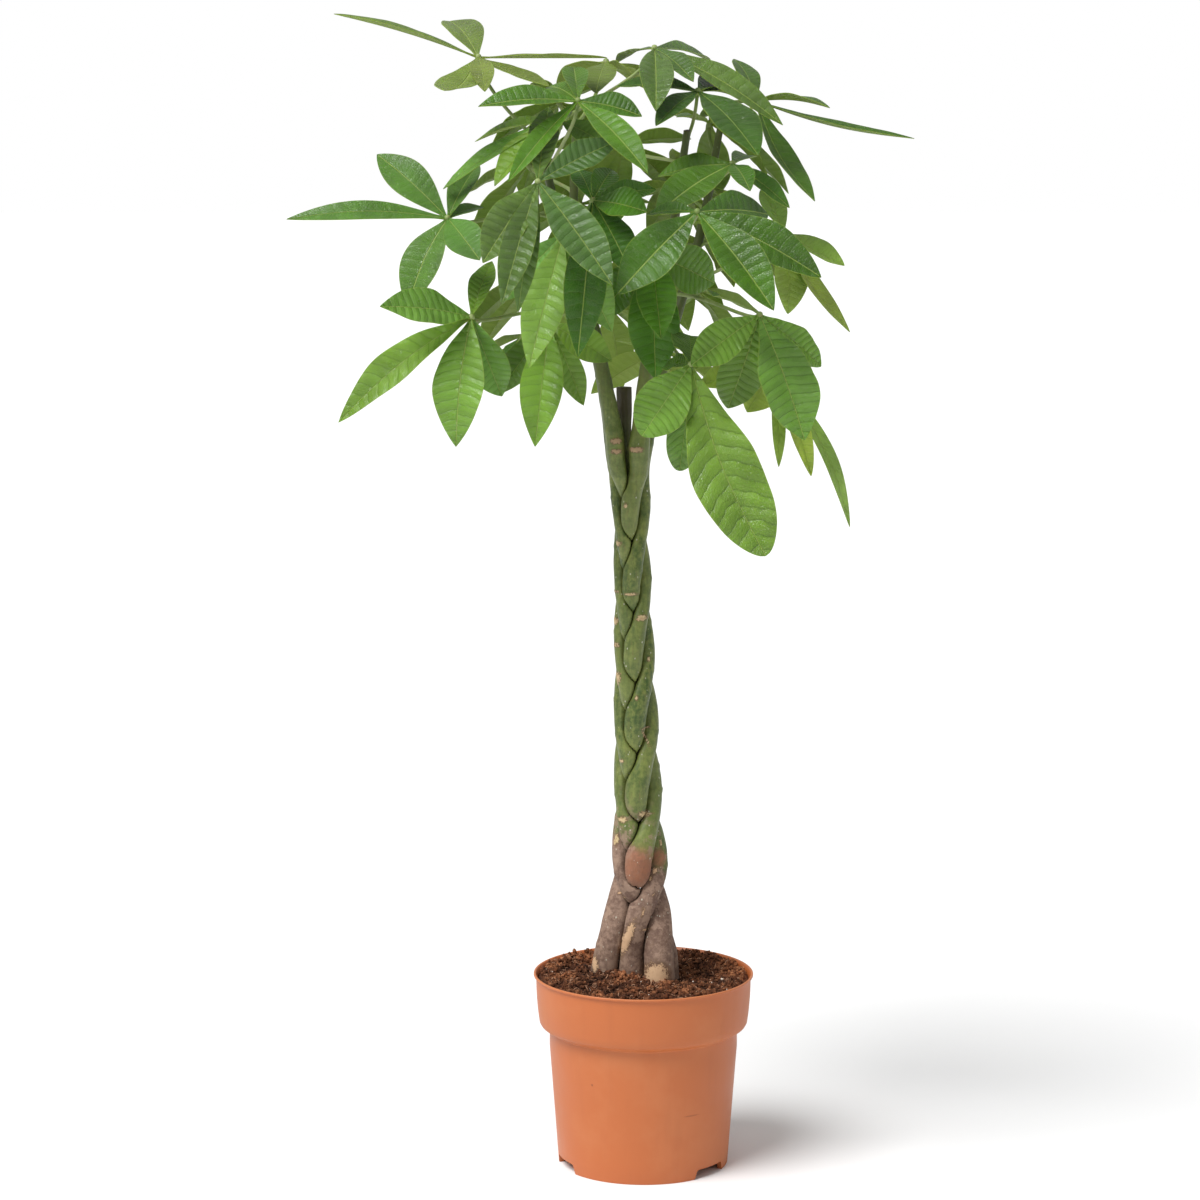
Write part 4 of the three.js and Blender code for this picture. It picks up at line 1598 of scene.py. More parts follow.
    def skin(self, k: int, heights: list[float], out: np.ndarray) -> tuple[np.ndarray, np.ndarray]:
        """Return a strand's skin, swollen at its joints, and how much painted shade each point gets where
        neighbours press on it.

        Args:
            k: the strand.
            heights: the heights of its rings.
            out: the directions of a ring's points, one row each.

        Returns:
            The points, ring after ring upwards, and 0 to 1 for how much neighbours press on each, which is
            painted as shade in the creases.
        """
        pick = random.Random(self.seed + k)
        joints = [
            self.root_end + 40 + pick.uniform(*self.joint_spacing) * (i + pick.uniform(0, 0.4))
            for i in range(self.joints)
        ]
        rows, painted_crease_shades = [], []
        for z in heights:
            reach = self.ring(k, z, out)
            # painted shade: how hard neighbours press on the skin, for darkening the creases between strands
            painted_crease_shades.append(np.clip((1 - reach / along(self.girth, z)) / 0.16, 0, 1))
            swell = sum(
                self.joint_swell * math.exp(-(((z - at) / self.joint_high) ** 2)) for at in joints
            )
            x, y = self.centre(k, z)
            for o, r in zip(out, reach):
                bump = noise.noise(Vector((o[0] * 7, o[1] * 7, z * 0.55 + 90 * k)) / 9)
                ripple = noise.noise(Vector((o[0] * 9, o[1] * 9, z / 14 + k)))
                r += swell + self.bumps * bump + self.ripples * ripple
                rows.append((x + o[0] * r, y + o[1] * r, z))
        return np.array(rows), np.concatenate(painted_crease_shades)

    @staticmethod
    def marked(k: int, points: np.ndarray, marks: list[Scar]) -> np.ndarray:
        """Return how much of the marks each point of a strand carries, 0 to 1."""
        return np.max([mark.on(points, k) for mark in marks], axis=0)

    def raise_scars(self, k: int, heights: list[float], points: np.ndarray, scar: np.ndarray) -> None:
        """Lift the scars of a strand a little off its skin.

        Args:
            k: the strand.
            heights: the heights of its rings.
            points: its skin, which is changed.
            scar: how much scar each point carries.
        """
        middles = np.repeat(np.array([self.centre(k, z) for z in heights]), self.sides, axis=0)
        away = points[:, :2] - middles
        lift = away / np.linalg.norm(away, axis=1)[:, None] * scar[:, None] * self.scar_swell
        points[:, :2] += lift

    def end_at(self, points: np.ndarray, row: int, up: bool) -> tuple[np.ndarray, list[int]]:
        """Return the middle of a strand's end, a little domed, and the numbers of its ring."""
        ring = [row * self.sides + j for j in range(self.sides)]
        return points[ring].mean(0) + [0, 0, 0.8 if up else -0.2], ring

    def build_strand(self, k: int, bark: Material) -> Piece:
        """Loft one stem from its root end to its top.

        Args:
            k: the strand.
            bark: its finish.

        Returns:
            The finished stem.
        """
        n, top = self.sides, self.top(k)
        count = int((top - self.root_end) / self.step)
        heights = [mix(self.root_end, top, i / count) for i in range(count + 1)]
        angles = np.arange(n) * 2 * math.pi / n
        points, painted_crease_shade = self.skin(k, heights, np.stack([np.cos(angles), np.sin(angles)], 1))
        scar, blush = self.marked(k, points, self.scars), self.marked(k, points, self.blushes)
        self.raise_scars(k, heights, points, scar)
        faces = [
            (i * n + j, i * n + (j + 1) % n, (i + 1) * n + (j + 1) % n, (i + 1) * n + j)
            for i in range(count)
            for j in range(n)
        ]
        low, low_ring = self.end_at(points, 0, False)
        high, high_ring = self.end_at(points, count, True)
        hub = len(points)
        faces += [(low_ring[(j + 1) % n], low_ring[j], hub) for j in range(n)]
        faces += [(high_ring[j], high_ring[(j + 1) % n], hub + 1) for j in range(n)]
        cut = np.zeros(hub + 2)
        # painted shade darkens the stump upwards above the head; every strand's end ring and cap are its cut
        # end
        if k == Stem.STUMP:
            dark = (points[:, 2] - self.head[1]) / self.stump_shade_fade
            cut[:hub] = np.clip(dark, 0, self.stump_shade_and_end_ring)
        cut[high_ring] = self.stump_shade_and_end_ring
        cut[hub + 1] = 1
        made = Bench.mesh(f"braided_stem_{k + 1}", np.vstack([points, low, high]), faces)
        for name, values in (("scar", scar), ("blush", blush), ("painted_crease_shade", painted_crease_shade)):
            Bench.paint(made, name, np.append(values, [0, 0]))
        Bench.paint(made, "age", np.full(hub + 2, self.ages[k]))
        Bench.paint(made, "cut", cut)
        made.data.materials.append(bark)
        Bench.finish(made, [f"stem_{k + 1}"], "bark", angle=60)
        return made

    def build(self) -> None:
        """Make the five stems."""
        bark = Bark().make()
        for k in range(self.strands):
            self.build_strand(k, bark)


# ---- Leaves ----
class Tone(Enum):
    """The greens of the leaves, from the oldest to the youngest."""

    DEEP = linear(54, 95, 10)
    RICH = linear(70, 112, 12)
    BRIGHT = linear(86, 123, 42)
    MID = linear(84, 116, 38)
    GREY = linear(74, 108, 36)
    OLIVE = linear(112, 134, 53)
    PALE = linear(87, 121, 50)
    VIVID = linear(72, 130, 4)
    LIME = linear(94, 130, 46)


@dataclass(frozen=True)
class LeafPlan:
    """One leaf: where its stalk leaves which shoot, its knuckle, the way it faces and its leaflets.

    Each tip is the place of a leaflet's end and its width and, where they differ from the rule, its
    arch and how far its middle sways sideways, of its length. Crinkle is how quilted the blades are,
    widest where along their length they are widest, blunt how round their tips are, and light how
    much lighter than their tone they are: partly the leaf's own colour and partly painted light that
    lifts the leaves lying in the crown's shade.
    """

    shoot: Stem
    start: float
    hub: Place
    face: Place
    tone: Tone
    tips: tuple[Row, ...]
    crinkle: float = 0.4
    widest: float = 0.56
    blunt: float = 0.15
    light: float = 1.0


FRONT = [
    LeafPlan(Stem.LEFT_FRONT, 1112, (-175, -20, 1200), (0, -10, 100), Tone.OLIVE, (
        (-325, -30, 1245, 32, 0.02), (-210, 100, 1240, 44), (-205, -150, 1166, 50, -0.08),
        (-40, -10, 1200, 34, 0), (-100, -90, 1170, 30, -0.02), (-165, -120, 1165, 26)),
        light=0.92, crinkle=0.2, blunt=0.4),
    LeafPlan(Stem.LEFT_FRONT, 1080, (-70, -140, 1155), (0, -60, 80), Tone.RICH, (
        (-170, -170, 1150, 40), (-75, -40, 1190, 30), (-100, -70, 1170, 34),
        (-5, -150, 1140, 36), (0, -230, 1085, 36), (-140, -190, 1075, 24)),
        light=1.03, crinkle=0.25),
    LeafPlan(Stem.LEFT_FRONT, 1000, (-110, -190, 1075), (0, -90, 50), Tone.PALE, (
        (-110, -130, 1150, 32), (-165, -210, 995, 46), (-145, -240, 955, 36),
        (-130, -200, 945, 26), (-35, -250, 975, 48), (-30, -150, 1115, 34)),
        light=0.83, crinkle=0.75),
    LeafPlan(Stem.LEFT_FRONT, 1030, (-205, -90, 1035), (-20, -80, 60), Tone.GREY, (
        (-280, -50, 1100, 42, 0.08), (-370, -110, 1035, 26, 0.08), (-245, -130, 945, 46, 0.1),
        (-170, -150, 995, 40), (-175, -30, 1090, 32), (-170, -40, 1045, 20)),
        light=1.31, crinkle=0.1, blunt=0.3),
    LeafPlan(Stem.LEFT_FRONT, 930, (-180, -120, 935), (-20, -85, 50), Tone.MID, (
        (-270, -185, 950, 46), (-315, -160, 830, 40, 0.09), (-195, -160, 805, 56, 0.09),
        (-160, -70, 990, 28), (-150, -80, 850, 46)),
        light=1.74, crinkle=0.6),
    LeafPlan(Stem.LEFT_FRONT, 960, (-55, -150, 1055), (10, -80, 60), Tone.VIVID, (
        (0, -190, 1045, 40), (-15, -190, 980, 40), (-70, -200, 900, 46),
        (-35, -90, 1085, 30), (-70, -90, 1085, 28), (10, -100, 1065, 28)),
        light=0.6, crinkle=0.5),
    LeafPlan(Stem.RIGHT_FRONT, 1000, (50, -190, 1045), (10, -80, 60), Tone.RICH, (
        (-30, -230, 965, 52), (125, -250, 950, 52), (175, -200, 980, 48),
        (125, -120, 1040, 44), (0, -130, 1040, 24)),
        light=0.79, crinkle=0.35, blunt=0.25),
    LeafPlan(Stem.RIGHT_FRONT, 1050, (90, -60, 1090), (0, -60, 80), Tone.RICH, (
        (0, -130, 1045, 46), (20, -20, 1090, 40), (150, -60, 1045, 26),
        (105, -150, 1065, 26), (115, 40, 1095, 24)),
        light=0.92, crinkle=0.3, blunt=0.3),
    LeafPlan(Stem.LEFT_FRONT, 1120, (10, 20, 1210), (10, -50, 85), Tone.PALE, (
        (10, -90, 1145, 40), (145, -10, 1130, 42), (75, 120, 1195, 30),
        (50, -40, 1175, 30), (-30, 100, 1195, 24)),
        light=0.8, crinkle=0.35),
    LeafPlan(Stem.RIGHT_BACK, 1125, (120, 60, 1155), (20, -10, 95), Tone.RICH, (
        (193, -30, 1148, 30, 0.04), (290, 60, 1115, 26, -0.04), (180, 0, 1050, 46, -0.07),
        (100, 150, 1200, 30), (60, 120, 1135, 34)),
        light=0.66, crinkle=0.2),
    LeafPlan(Stem.RIGHT_BACK, 955, (150, 40, 1015), (30, -40, 80), Tone.OLIVE, (
        (215, 40, 980, 40, -0.03), (220, 20, 910, 34, -0.06), (125, 60, 1060, 34),
        (155, 30, 928, 50)),
        light=1.62, crinkle=0.15, blunt=0.3),
    LeafPlan(Stem.RIGHT_FRONT, 905, (45, -170, 890), (10, -90, 40), Tone.LIME, (
        (-5, -200, 820, 56), (120, -220, 700, 76, 0, 0.04), (20, -120, 885, 24),
        (35, -110, 775, 40), (45, -110, 915, 44)),
        light=1.27, crinkle=1.0, widest=0.62, blunt=0.85),
    LeafPlan(Stem.RIGHT_FRONT, 945, (115, -160, 940), (20, -90, 40), Tone.BRIGHT, (
        (160, -190, 815, 62), (45, -180, 890, 44), (180, -130, 885, 34), (85, -110, 840, 50)),
        light=1.4, crinkle=1.0, widest=0.6, blunt=0.4),
    LeafPlan(Stem.RIGHT_BACK, 900, (140, 40, 865), (20, -60, 60), Tone.OLIVE, (
        (145, 20, 765, 16), (225, 60, 695, 22, 0.1), (180, 20, 755, 28),
        (110, 10, 825, 44), (60, 60, 850, 40)),
        light=1.73, crinkle=0.2, blunt=0.4),
    LeafPlan(Stem.LEFT_FRONT, 975, (-85, -100, 1020), (-5, -95, 30), Tone.PALE, (
        (-120, -150, 885, 46), (-150, -110, 950, 36), (-35, -120, 920, 44),
        (-5, -60, 1000, 36)),
        light=1.67, crinkle=0.5),
    LeafPlan(Stem.LEFT_FRONT, 890, (-100, -60, 925), (0, -95, 30), Tone.MID, (
        (-115, -110, 800, 48, 0.09), (-155, -60, 850, 36), (-65, -20, 835, 30),
        (-35, -60, 885, 36)),
        light=1.65, crinkle=0.5),
    LeafPlan(Stem.RIGHT_FRONT, 965, (5, -100, 1000), (0, -90, 40), Tone.RICH, (
        (15, -150, 915, 44), (10, -110, 870, 56), (-50, -90, 930, 44),
        (66, -60, 950, 52), (70, -20, 985, 44)),
        light=1.23, crinkle=0.4),
    LeafPlan(Stem.LEFT_FRONT, 1095, (-89, -70, 1135), (-20, -40, 90), Tone.MID, (
        (-210, -80, 1065, 28), (-162, -100, 1071, 40), (-170, -10, 1122, 30),
        (-50, -110, 1095, 34), (-80, -120, 1130, 24)),
        light=1.65, crinkle=0.3),
    LeafPlan(Stem.RIGHT_FRONT, 1118, (55, -20, 1165), (10, -40, 90), Tone.DEEP, (
        (115, -100, 1100, 56), (10, -90, 1130, 30), (105, 60, 1155, 26),
        (90, 60, 1175, 36), (-30, 0, 1170, 44)),
        light=0.82, crinkle=0.3, blunt=0.3),
    LeafPlan(Stem.LEFT_BACK, 1128, (-41, 60, 1196), (0, 30, 90), Tone.OLIVE, (
        (-3, 20, 1171, 34), (-52, 0, 1163, 38), (20, 110, 1160, 34), (-95, 120, 1170, 34)),
        light=0.82, crinkle=0.3),
]


@dataclass
class BackRule:
    """The leaves behind and inside, which follow a rule up the two back shoots."""

    count: int = 13
    knuckles: Span = (870, 1165)
    starts: Span = (868, 1126)
    arc: Span = (12, 168)
    reach: Span = (95, 190)
    middle: Span = (-25, 30)
    flatten: float = 0.72
    fingers: int = 6
    length: float = 138
    slender: float = 0.36
    droop: float = 0.5
    golden: float = 0.618034
    second: float = 0.414214
    tones: tuple[Tone, ...] = (Tone.MID, Tone.DEEP, Tone.BRIGHT, Tone.PALE)

    def plan(self, i: int) -> LeafPlan:
        """Return the plan of the rule's leaf i.

        Args:
            i: the leaf's number, from 0 at the bottom.

        Returns:
            The plan.
        """
        up = (i + 0.5) / self.count
        angle = math.radians(mix(*self.arc, (i * self.golden + 0.3) % 1))
        full = math.sin(math.pi * mix(0.25, 0.85, up))
        reach = mix(*self.reach, ((i * self.second) % 1) * 0.6 + 0.4 * full)
        out = np.array([math.cos(angle) * self.flatten, math.sin(angle), 0])
        hub = np.array([*self.middle, mix(*self.knuckles, up)]) + out * reach
        face = unit(np.array([out[0] * 0.7, out[1] * 0.7, 0.75]))
        forward = unit(out - face * np.dot(out, face))
        sideways = np.cross(face, forward)
        tips = []
        for j in range(self.fingers):
            turn = 2 * math.pi * (j + 0.25 * math.sin(i * 2.1 + j)) / self.fingers
            drop = -self.droop * (0.6 + 0.4 * math.sin(i + 3 * j))
            way = forward * math.cos(turn) + sideways * math.sin(turn) + np.array([0, 0, drop])
            uneven = 0.9 + 0.14 * math.sin(i * 1.7 + j * 2.3)
            length = self.length * uneven * (0.72 + 0.28 * math.cos(turn))
            tips.append((*(hub + unit(way) * length), length * self.slender))
        shoot = Stem.RIGHT_BACK if hub[0] > self.middle[0] else Stem.LEFT_BACK
        tone = self.tones[i % len(self.tones)]
        return LeafPlan(shoot, mix(*self.starts, up), tuple(hub), tuple(face), tone, tuple(tips))


@dataclass
class Leaflet:
    """One blade of a leaf, laid out from its knuckle to its tip."""

    hub: np.ndarray
    way: np.ndarray
    top: np.ndarray
    side: np.ndarray
    length: float
    width: float
    arch: float
    sway: float
    phase: float
    widest: float
    blunt: float

    @classmethod
    def bent(cls, plan: LeafPlan, tip: Row, step: Span, bend: float) -> "Leaflet":
        """Return a leaflet of a plan, bent by a step to clear its neighbours.

        Args:
            plan: the leaf.
            tip: the leaflet's tip and sizes in it.
            step: how many bends sideways and how many up.
            bend: degrees in one bend.

        Returns:
            The leaflet.
        """
        hub = np.array(plan.hub, float)
        chord = np.array(tip[:3], float) - hub
        length = float(np.linalg.norm(chord))
        way = chord / length
        face = unit(np.array(plan.face, float))
        top = face - way * np.dot(face, way)
        if np.dot(top, top) < 0.04:
            top = across(way)[1]
        top = unit(top)
        side = np.cross(way, top)
        way, side = turned(way, top, step[0] * bend), turned(side, top, step[0] * bend)
        way, top = turned(way, side, step[1] * bend), turned(top, side, step[1] * bend)
        arch = tip[4] if len(tip) > 4 else 0.05
        sway = tip[5] if len(tip) > 5 else 0.0
        phase = (tip[0] + 2 * tip[2]) * 0.1
        return cls(hub, way, top, side, length, tip[3], arch, sway, phase, plan.widest, plan.blunt)

    def half_width(self, t: np.ndarray) -> np.ndarray:
        """Return half the width at t: a wedge at the base, a pointed or a round tip.

        Args:
            t: places along the blade, 0 to 1.

        Returns:
            One value for each place.
        """
        rising = np.sin(np.pi / 2 * np.clip(t / self.widest, 0, 1)) ** 1.15
        falling = np.cos(np.pi / 2 * np.clip((t - self.widest) / (1 - self.widest), 0, 1))
        return self.width / 2 * rising * np.clip(falling, 0, 1) ** mix(0.95, 0.5, self.blunt)

    def at(self, t: np.ndarray, reach: np.ndarray, lift: np.ndarray) -> np.ndarray:
        """Return points along the blade, a reach to the side and a lift above its midrib.

        Args:
            t: places along the blade, 0 to 1.
            reach: how far to the side each point is.
            lift: how far above the midrib.

        Returns:
            One row of x, y and z for each point.
        """
        hump = self.length * np.sin(np.pi * t)
        return (
            self.hub
            + np.outer(self.length * t, self.way)
            + np.outer(self.arch * hump + lift, self.top)
            + np.outer(self.sway * hump + reach, self.side)
        )


@dataclass
class Crown:
    """All the leaves: smooth stalks, knuckles and quilted, waved leaflets with veins.

    The knuckle is a row of rings, each a distance along the stalk from its middle and a radius.
    """

    braid: Braid
    nodes: dict
    back: BackRule = field(default_factory=BackRule)
    stalk_foot: float = 3.4
    stalk_middle: float = 1.9
    stalk_rings: Row = (0, 0.03, 0.07, 0.13, 0.22, 0.34, 0.46, 0.58, 0.7, 0.8, 0.88, 0.93)
    knuckle: tuple[Span, ...] = (
        (-8, 2.0), (-4.6, 2.5), (-2, 3.2), (0, 3.4), (2, 3.2), (3.4, 2.6), (4.2, 1.2),
    )
    rise: float = 0.28
    hang: float = 0.22
    bow: float = 11
    bend: float = 6
    bends: int = 6
    near_enough: float = 0.5
    square: float = 1.15
    fold: float = 19
    twist: float = 9
    wave: float = 0.055
    waves: float = 2.6
    neck: float = 1.6
    blade_thick: float = 0.6
    neck_thick: float = 2.2
    rows: int = 44
    columns: int = 12
    vein_pairs: float = 15
    seed: int = 5

    def steps(self) -> list[Span]:
        """Return the steps by which a stalk or a leaflet may give way, the smallest first."""
        ring = [(r, i * math.pi / 4) for r in range(1, self.bends + 1) for i in range(8)]
        return [(0.0, 0.0)] + [(r * math.cos(a), r * math.sin(a)) for r, a in ring]

    def stalk_line(self, plan: LeafPlan, step: Span) -> list[np.ndarray]:
        """Return the four control points of a stalk's curve from its shoot to its knuckle.

        Args:
            plan: the leaf.
            step: how many bows its middle gives way, sideways and over.

        Returns:
            The control points.
        """
        foot = np.array([*self.braid.centre(plan.shoot, plan.start), plan.start])
        hub = np.array(plan.hub, float)
        way = hub - foot
        length = float(np.linalg.norm(way))
        outward = unit(np.array([way[0], way[1], 0])) * 0.8 + np.array([0, 0, 0.6])
        side, over = across(way / length)
        shift = side * step[0] * self.bow + over * step[1] * self.bow
        first = foot + unit(outward) * self.rise * length + shift
        second = hub - unit(np.array(plan.face, float)) * self.hang * length + shift
        return [foot, first, second, hub]

    @staticmethod
    def on_curve(line: list[np.ndarray], t: float) -> tuple[np.ndarray, np.ndarray]:
        """Return the place and the way of a cubic curve at t.

        Args:
            line: the curve's four control points.
            t: 0 at its start and 1 at its end.

        Returns:
            The place and the direction.
        """
        a, b, c, d = line
        u = 1 - t
        place = a * u**3 + b * 3 * u * u * t + c * 3 * u * t * t + d * t**3
        way = (b - a) * 3 * u * u + (c - b) * 6 * u * t + (d - c) * 3 * t * t
        return place, unit(way)

    @staticmethod
    def nearest(marks: list[np.ndarray], cloud: np.ndarray) -> tuple[int, float]:
        """Return which mark lies nearest to any point of a cloud, and how near.

        Args:
            marks: the places to choose from.
            cloud: one row for each point.

        Returns:
            The mark's number and its distance.
        """
        gaps = [float(np.min(np.linalg.norm(cloud - mark, axis=1))) for mark in marks]
        best = int(np.argmin(gaps))
        return best, gaps[best]

    def stalk_step(self, plan: LeafPlan, cloud: np.ndarray) -> Span:
        """Return the step that the CAD stalk took, read off its nearest corner.

        Args:
            plan: the leaf.
            cloud: the points of its CAD node.

        Returns:
            The step.
        """
        marks = []
        for step in self.steps():
            place, way = self.on_curve(self.stalk_line(plan, step), 0.5)
            marks.append(place - across(way)[0] * self.stalk_middle * self.square)
        best, gap = self.nearest(marks, cloud)
        if gap > self.near_enough:
            LOG.warning("stalk at %s: nearest step is %.2f mm off", plan.hub, gap)
        return self.steps()[best]

    def blade_step(self, plan: LeafPlan, tip: Row, cloud: np.ndarray) -> Span:
        """Return the step that the CAD leaflet took, read off its tip.

        Args:
            plan: the leaf.
            tip: the leaflet's tip and sizes in it.
            cloud: the points of its CAD node.

        Returns:
            The step.
        """
        end, none = np.ones(1), np.zeros(1)
        leaflets = [Leaflet.bent(plan, tip, step, self.bend) for step in self.steps()]
        marks = [leaflet.at(end, none, none)[0] for leaflet in leaflets]
        best, gap = self.nearest(marks, cloud)
        if gap > self.near_enough:
            LOG.warning("leaflet to %s: nearest step is %.2f mm off", tip[:3], gap)
        return self.steps()[best]

    def template(self, skins: list[Material]) -> Piece:
        """Model one flat leaflet: a grid whose width is its midrib's two sides and length its own.

        Args:
            skins: the upper skin, the lower skin and the stalk's.

        Returns:
            The flat leaflet, with a vertex group that holds how thick it is.
        """
        Bench.clear()
        bpy.ops.mesh.primitive_grid_add(x_subdivisions=self.columns, y_subdivisions=self.rows, size=2)
        flat = bpy.context.object
        flat.name = flat.data.name = "flat_leaflet"
        u, t = self.grid(flat)
        body = flat.vertex_groups.new(name="body")
        for i in range(len(u)):
            rib = math.exp(-((u[i] / 0.1) ** 2)) * 0.7 * (1 - t[i])
            thick = mix(self.neck_thick, self.blade_thick + rib, smooth(0.015, 0.1, t[i]))
            body.add([i], thick / self.neck_thick, "REPLACE")
        for skin in skins:
            flat.data.materials.append(skin)
        flat.data.uv_layers[0].name = "leaf_map"
        Bench.paint(flat, "margin", np.abs(u))
        flat.data.attributes.new("tint", "FLOAT_COLOR", "POINT")
        return flat

    def grid(self, flat: Piece) -> tuple[np.ndarray, np.ndarray]:
        """Return each point's place across, -1 to 1, and along, 0 to 1, of the flat leaflet."""
        points = Bench.points(flat) * MM
        return points[:, 0].copy(), 1 - np.clip((1 - points[:, 1]) / 2, 0, 1) ** 1.3

    def shape(
        self, leaflet: Leaflet, u: np.ndarray, t: np.ndarray, crinkle: float, pick: random.Random
    ) -> np.ndarray:
        """Return the points of the flat leaflet laid out in space.

        Args:
            leaflet: where it lies.
            u: each point's place across, -1 to 1.
            t: each point's place along, 0 to 1.
            crinkle: how waved its margin is.
            pick: for its own unevenness.

        Returns:
            One row of x, y and z for each point.
        """
        half = np.sqrt(leaflet.half_width(t) ** 2 + (self.neck * (1 - t * 0.85)) ** 2)
        fold = math.radians(self.fold * pick.uniform(0.6, 1.25))
        turn = 2 * math.pi * self.waves * t + leaflet.phase
        out = np.abs(u)
        ripple = leaflet.width * self.wave * crinkle * np.sin(turn + u) * out**1.6
        small = pick.uniform(0, 0.6) * crinkle
        small = small * np.sin(turn * pick.uniform(2.1, 3.0) + 2.2 * u) * out**3
        fade = np.nan_to_num(np.sin(np.pi * np.clip(t, 0, 1)) ** 0.6)
        dome = out * 1.3 - 0.3 * out**3
        lift = half * math.sin(fold) * dome + (ripple + small) * fade
        twist = math.radians(pick.uniform(-self.twist, self.twist)) * t
        reach = u * half * math.cos(fold)
        return leaflet.at(t, reach * np.cos(twist), lift + reach * np.sin(twist))

    def lay_leaflet(self, flat: Piece, leaflet: Leaflet, plan: LeafPlan, pick: random.Random) -> Piece:
        """Copy the flat leaflet, lay the copy out, and give it its map and its tint.

        Args:
            flat: the flat leaflet.
            leaflet: where the copy lies.
            plan: the leaf.
            pick: for its unevenness and its tint.

        Returns:
            The leaflet, still without its thickness.
        """
        made = bpy.data.objects.new("leaflet", flat.data.copy())
        bpy.context.scene.collection.objects.link(made)
        u, t = self.grid(flat)
        Bench.place(made, self.shape(leaflet, u, t, plan.crinkle, pick))
        spacing = leaflet.length / (self.vein_pairs * mix(0.82, 1.0, smooth(60, 160, leaflet.length)))
        half = np.maximum(self.neck, leaflet.half_width(t))
        aside, on = u * half / spacing / VEIN_STEPS, leaflet.length * t / spacing / VEIN_STEPS
        spots = np.stack([0.5 + aside, on], 1)
        corners = np.empty(len(made.data.loops), np.int32)
        made.data.loops.foreach_get("vertex_index", corners)
        leaf_map = made.data.uv_layers["leaf_map"].uv
        leaf_map.foreach_set("vector", spots[corners].astype(np.float32).ravel())
        # the leaf's lightness, partly its own colour and partly painted light, with a random spread
        light = plan.light * pick.uniform(0.85, 1.18)
        warm = pick.uniform(-0.1, 0.14)
        red, green, blue = plan.tone.value
        tint = (red * light * (1 + warm), green * light, blue * light * (1 - warm), plan.crinkle)
        tints = np.tile(np.array(tint), len(u)).astype(np.float32)
        made.data.attributes["tint"].data.foreach_set("color", tints)
        return made

    def lay_stalk(self, plan: LeafPlan, step: Span, skin: Material) -> Piece:
        """Draw a stalk as a tapering round tube along its curve, with its knuckle at the end.

        Args:
            plan: the leaf.
            step: how the stalk gives way.
            skin: its finish.

        Returns:
            The finished stalk.
        """
        line = self.stalk_line(plan, step)
        rows = []
        for t in self.stalk_rings:
            girth = mix(self.stalk_foot, self.stalk_middle, smooth(0.02, 0.17, t))
            rows.append((self.on_curve(line, t)[0], girth))
        hub, way = self.on_curve(line, 1)
        rows += [(hub + way * shift, girth) for shift, girth in self.knuckle]
        curve = bpy.data.curves.new("stalk", "CURVE")
        curve.dimensions = "3D"
        curve.bevel_depth = MM
        curve.bevel_resolution = 3
        curve.use_fill_caps = True
        spline = curve.splines.new("POLY")
        spline.points.add(len(rows) - 1)
        for point, (place, girth) in zip(spline.points, rows):
            point.co = (*(place * MM), 1)
            point.radius = girth
        made = bpy.data.objects.new("stalk", curve)
        bpy.context.scene.collection.objects.link(made)
        curve.materials.append(skin)
        Bench.take(made)
        bpy.ops.object.convert(target="MESH")
        made = bpy.context.object
        Bench.outward(made)
        return made

    def build_leaf(self, name: str, plan: LeafPlan, flat: Piece, skin: Material, slot: str) -> Piece:
        """Make one leaf where its CAD node is.

        Args:
            name: the CAD node's name.
            plan: the leaf's plan.
            flat: the flat leaflet to copy.
            skin: the stalk's finish.
            slot: passed on, but not used.

        Returns:
            The finished leaf.
        """
        pick = random.Random(self.seed * 1000 + int(name[-2:]))
        cloud = Bench.points(self.nodes[name])
        blades = []
        for tip in plan.tips:
            step = self.blade_step(plan, tip, cloud)
            leaflet = Leaflet.bent(plan, tip, step, self.bend)
            blades.append(self.lay_leaflet(flat, leaflet, plan, pick))
        whole = blades[0]
        Bench.join(whole, blades[1:])
        Bench.modify(
            whole, "SOLIDIFY", thickness=self.neck_thick * MM, offset=0, vertex_group="body",
            thickness_vertex_group=0, material_offset=1, material_offset_rim=1,
        )
        stalk = self.lay_stalk(plan, self.stalk_step(plan, cloud), skin)
        Bench.join(whole, [stalk])
        whole.name = whole.data.name = name.replace("leaf", "palm_leaf")
        Bench.finish(whole, [name], slot, angle=60)
        return whole

    def build(self) -> None:
        """Make all the leaves."""
        skin = StalkSkin().make()
        skins = [Blade(Side.UPPER).make(), Blade(Side.LOWER).make(), skin]
        flat = self.template(skins)
        plans = FRONT + [self.back.plan(i) for i in range(self.back.count)]
        for i, plan in enumerate(plans):
            slot = "young_leaf" if plan.tone in (Tone.LIME, Tone.VIVID) else "leaf"
            self.build_leaf(f"leaf_{i + 1:02d}", plan, flat, skin, slot)
        bpy.data.objects.remove(flat)


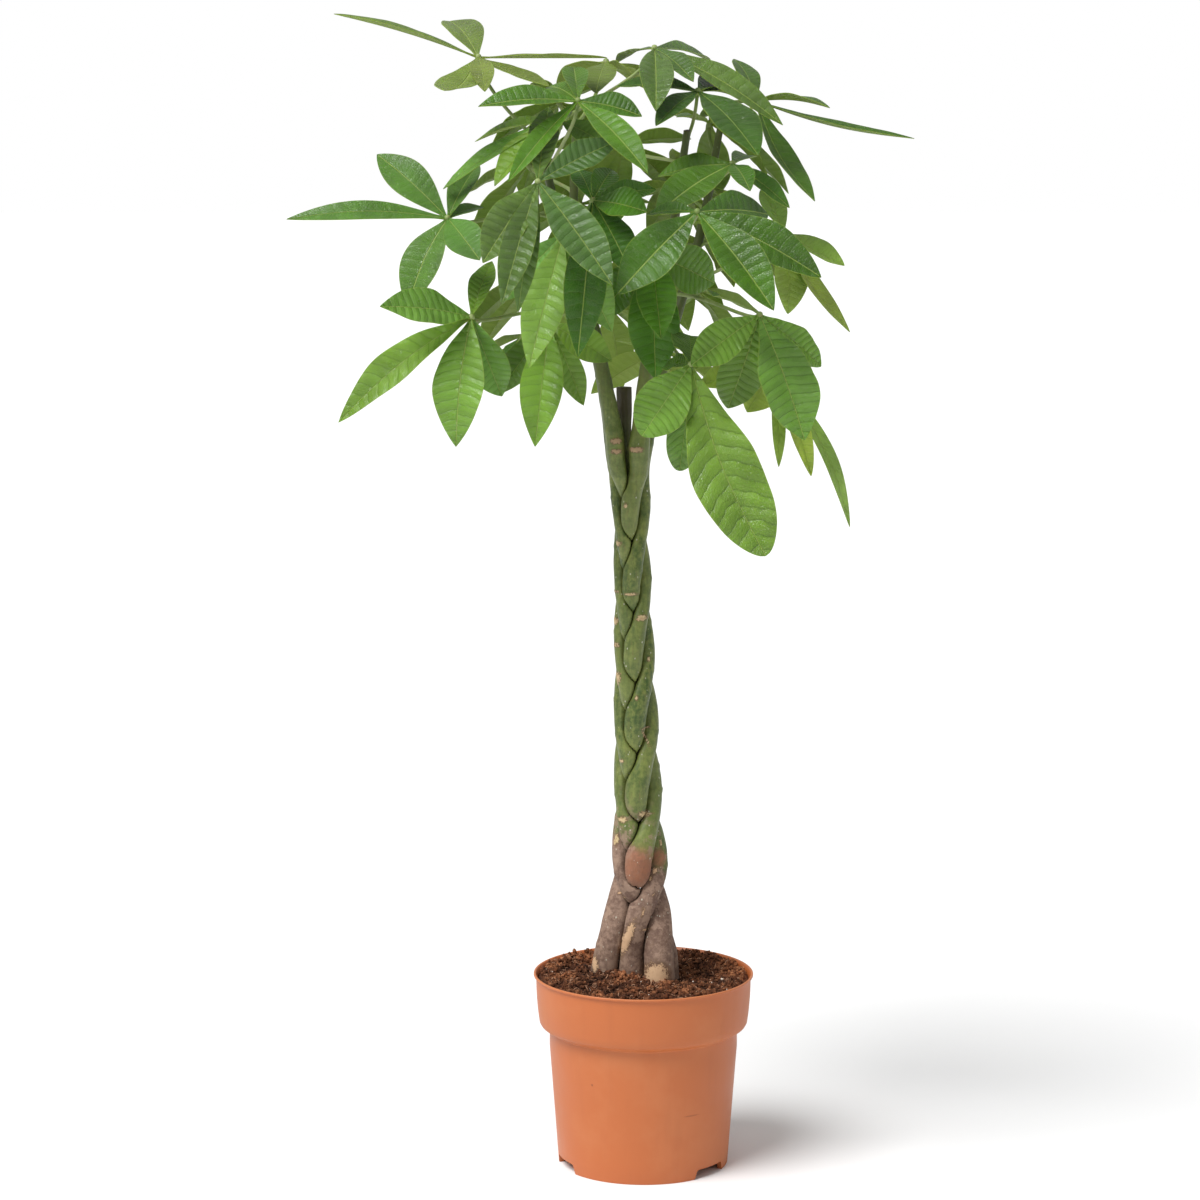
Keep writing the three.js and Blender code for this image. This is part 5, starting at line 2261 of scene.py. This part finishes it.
# ---- Studio ----
@dataclass
class Studio:
    """A pale floor, a white backdrop and surround, a broad soft light at the left front, the camera."""

    floor_size: float = 60.0
    floor_cuts: int = 6
    backdrop: float = 1.0
    surround: float = 0.46
    key_strength: float = 3.45
    key_spread: float = 34.0
    key_from: Place = (-0.5, -0.44, 1.0)
    camera_at: Place = (-0.0475, -3.71, 1.165)
    camera_tilt: float = 8.31
    sensor: float = 36
    focal_pixels: float = 3481
    picture_pixels: float = 1200
    farthest: float = 100

    def lay_floor(self) -> None:
        """Lay the floor."""
        Bench.clear()
        bpy.ops.mesh.primitive_plane_add(size=self.floor_size, location=(0, 0, 0))
        floor = bpy.context.object
        floor.name = "studio_floor"
        Bench.edit(floor, "FACE")
        bpy.ops.mesh.select_all(action="SELECT")
        bpy.ops.mesh.subdivide(number_cuts=self.floor_cuts)
        Bench.clear()
        floor.data.materials.append(StudioFloor().make())

    def light(self) -> None:
        """Set the surround and the soft key light."""
        world = bpy.data.worlds.new("studio_surround")
        world.use_nodes = True
        nodes, links = world.node_tree.nodes, world.node_tree.links
        back = nodes["Background"]
        back.inputs["Color"].default_value = (1, 1, 1, 1)
        level = nodes.new("ShaderNodeMapRange")
        level.inputs["To Min"].default_value = self.surround
        level.inputs["To Max"].default_value = self.backdrop
        links.new(nodes.new("ShaderNodeLightPath").outputs["Is Camera Ray"], level.inputs["Value"])
        links.new(level.outputs["Result"], back.inputs["Strength"])
        bpy.context.scene.world = world
        lamp = bpy.data.lights.new("key_light", "SUN")
        lamp.energy = self.key_strength
        lamp.angle = math.radians(self.key_spread)
        key = bpy.data.objects.new("key_light", lamp)
        key.location = self.key_from
        key.rotation_euler = Vector([-v for v in self.key_from]).to_track_quat("-Z", "Y").to_euler()
        bpy.context.scene.collection.objects.link(key)

    def stand_camera(self) -> None:
        """Set the camera where the photograph was taken from."""
        data = bpy.data.cameras.new("camera")
        data.sensor_width = self.sensor
        data.lens = self.focal_pixels / self.picture_pixels * self.sensor
        data.clip_end = self.farthest
        camera = bpy.data.objects.new("camera", data)
        camera.location = self.camera_at
        camera.rotation_euler = (math.radians(90 - self.camera_tilt), 0, 0)
        bpy.context.scene.collection.objects.link(camera)
        bpy.context.scene.camera = camera
        bpy.context.scene.view_settings.view_transform = "Standard"

    def build(self) -> None:
        """Set up the whole studio."""
        self.lay_floor()
        self.light()
        self.stand_camera()


def main() -> None:
    """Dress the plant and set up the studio."""
    logging.basicConfig(level=logging.INFO, format="%(message)s")
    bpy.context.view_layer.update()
    Studio().build()
    pot = Pot()
    pot.build()
    Soil(pot).build()
    braid = Braid()
    braid.build()
    Crown(braid, frame["nodes"]).build()


if __name__ == "__main__":
    main()
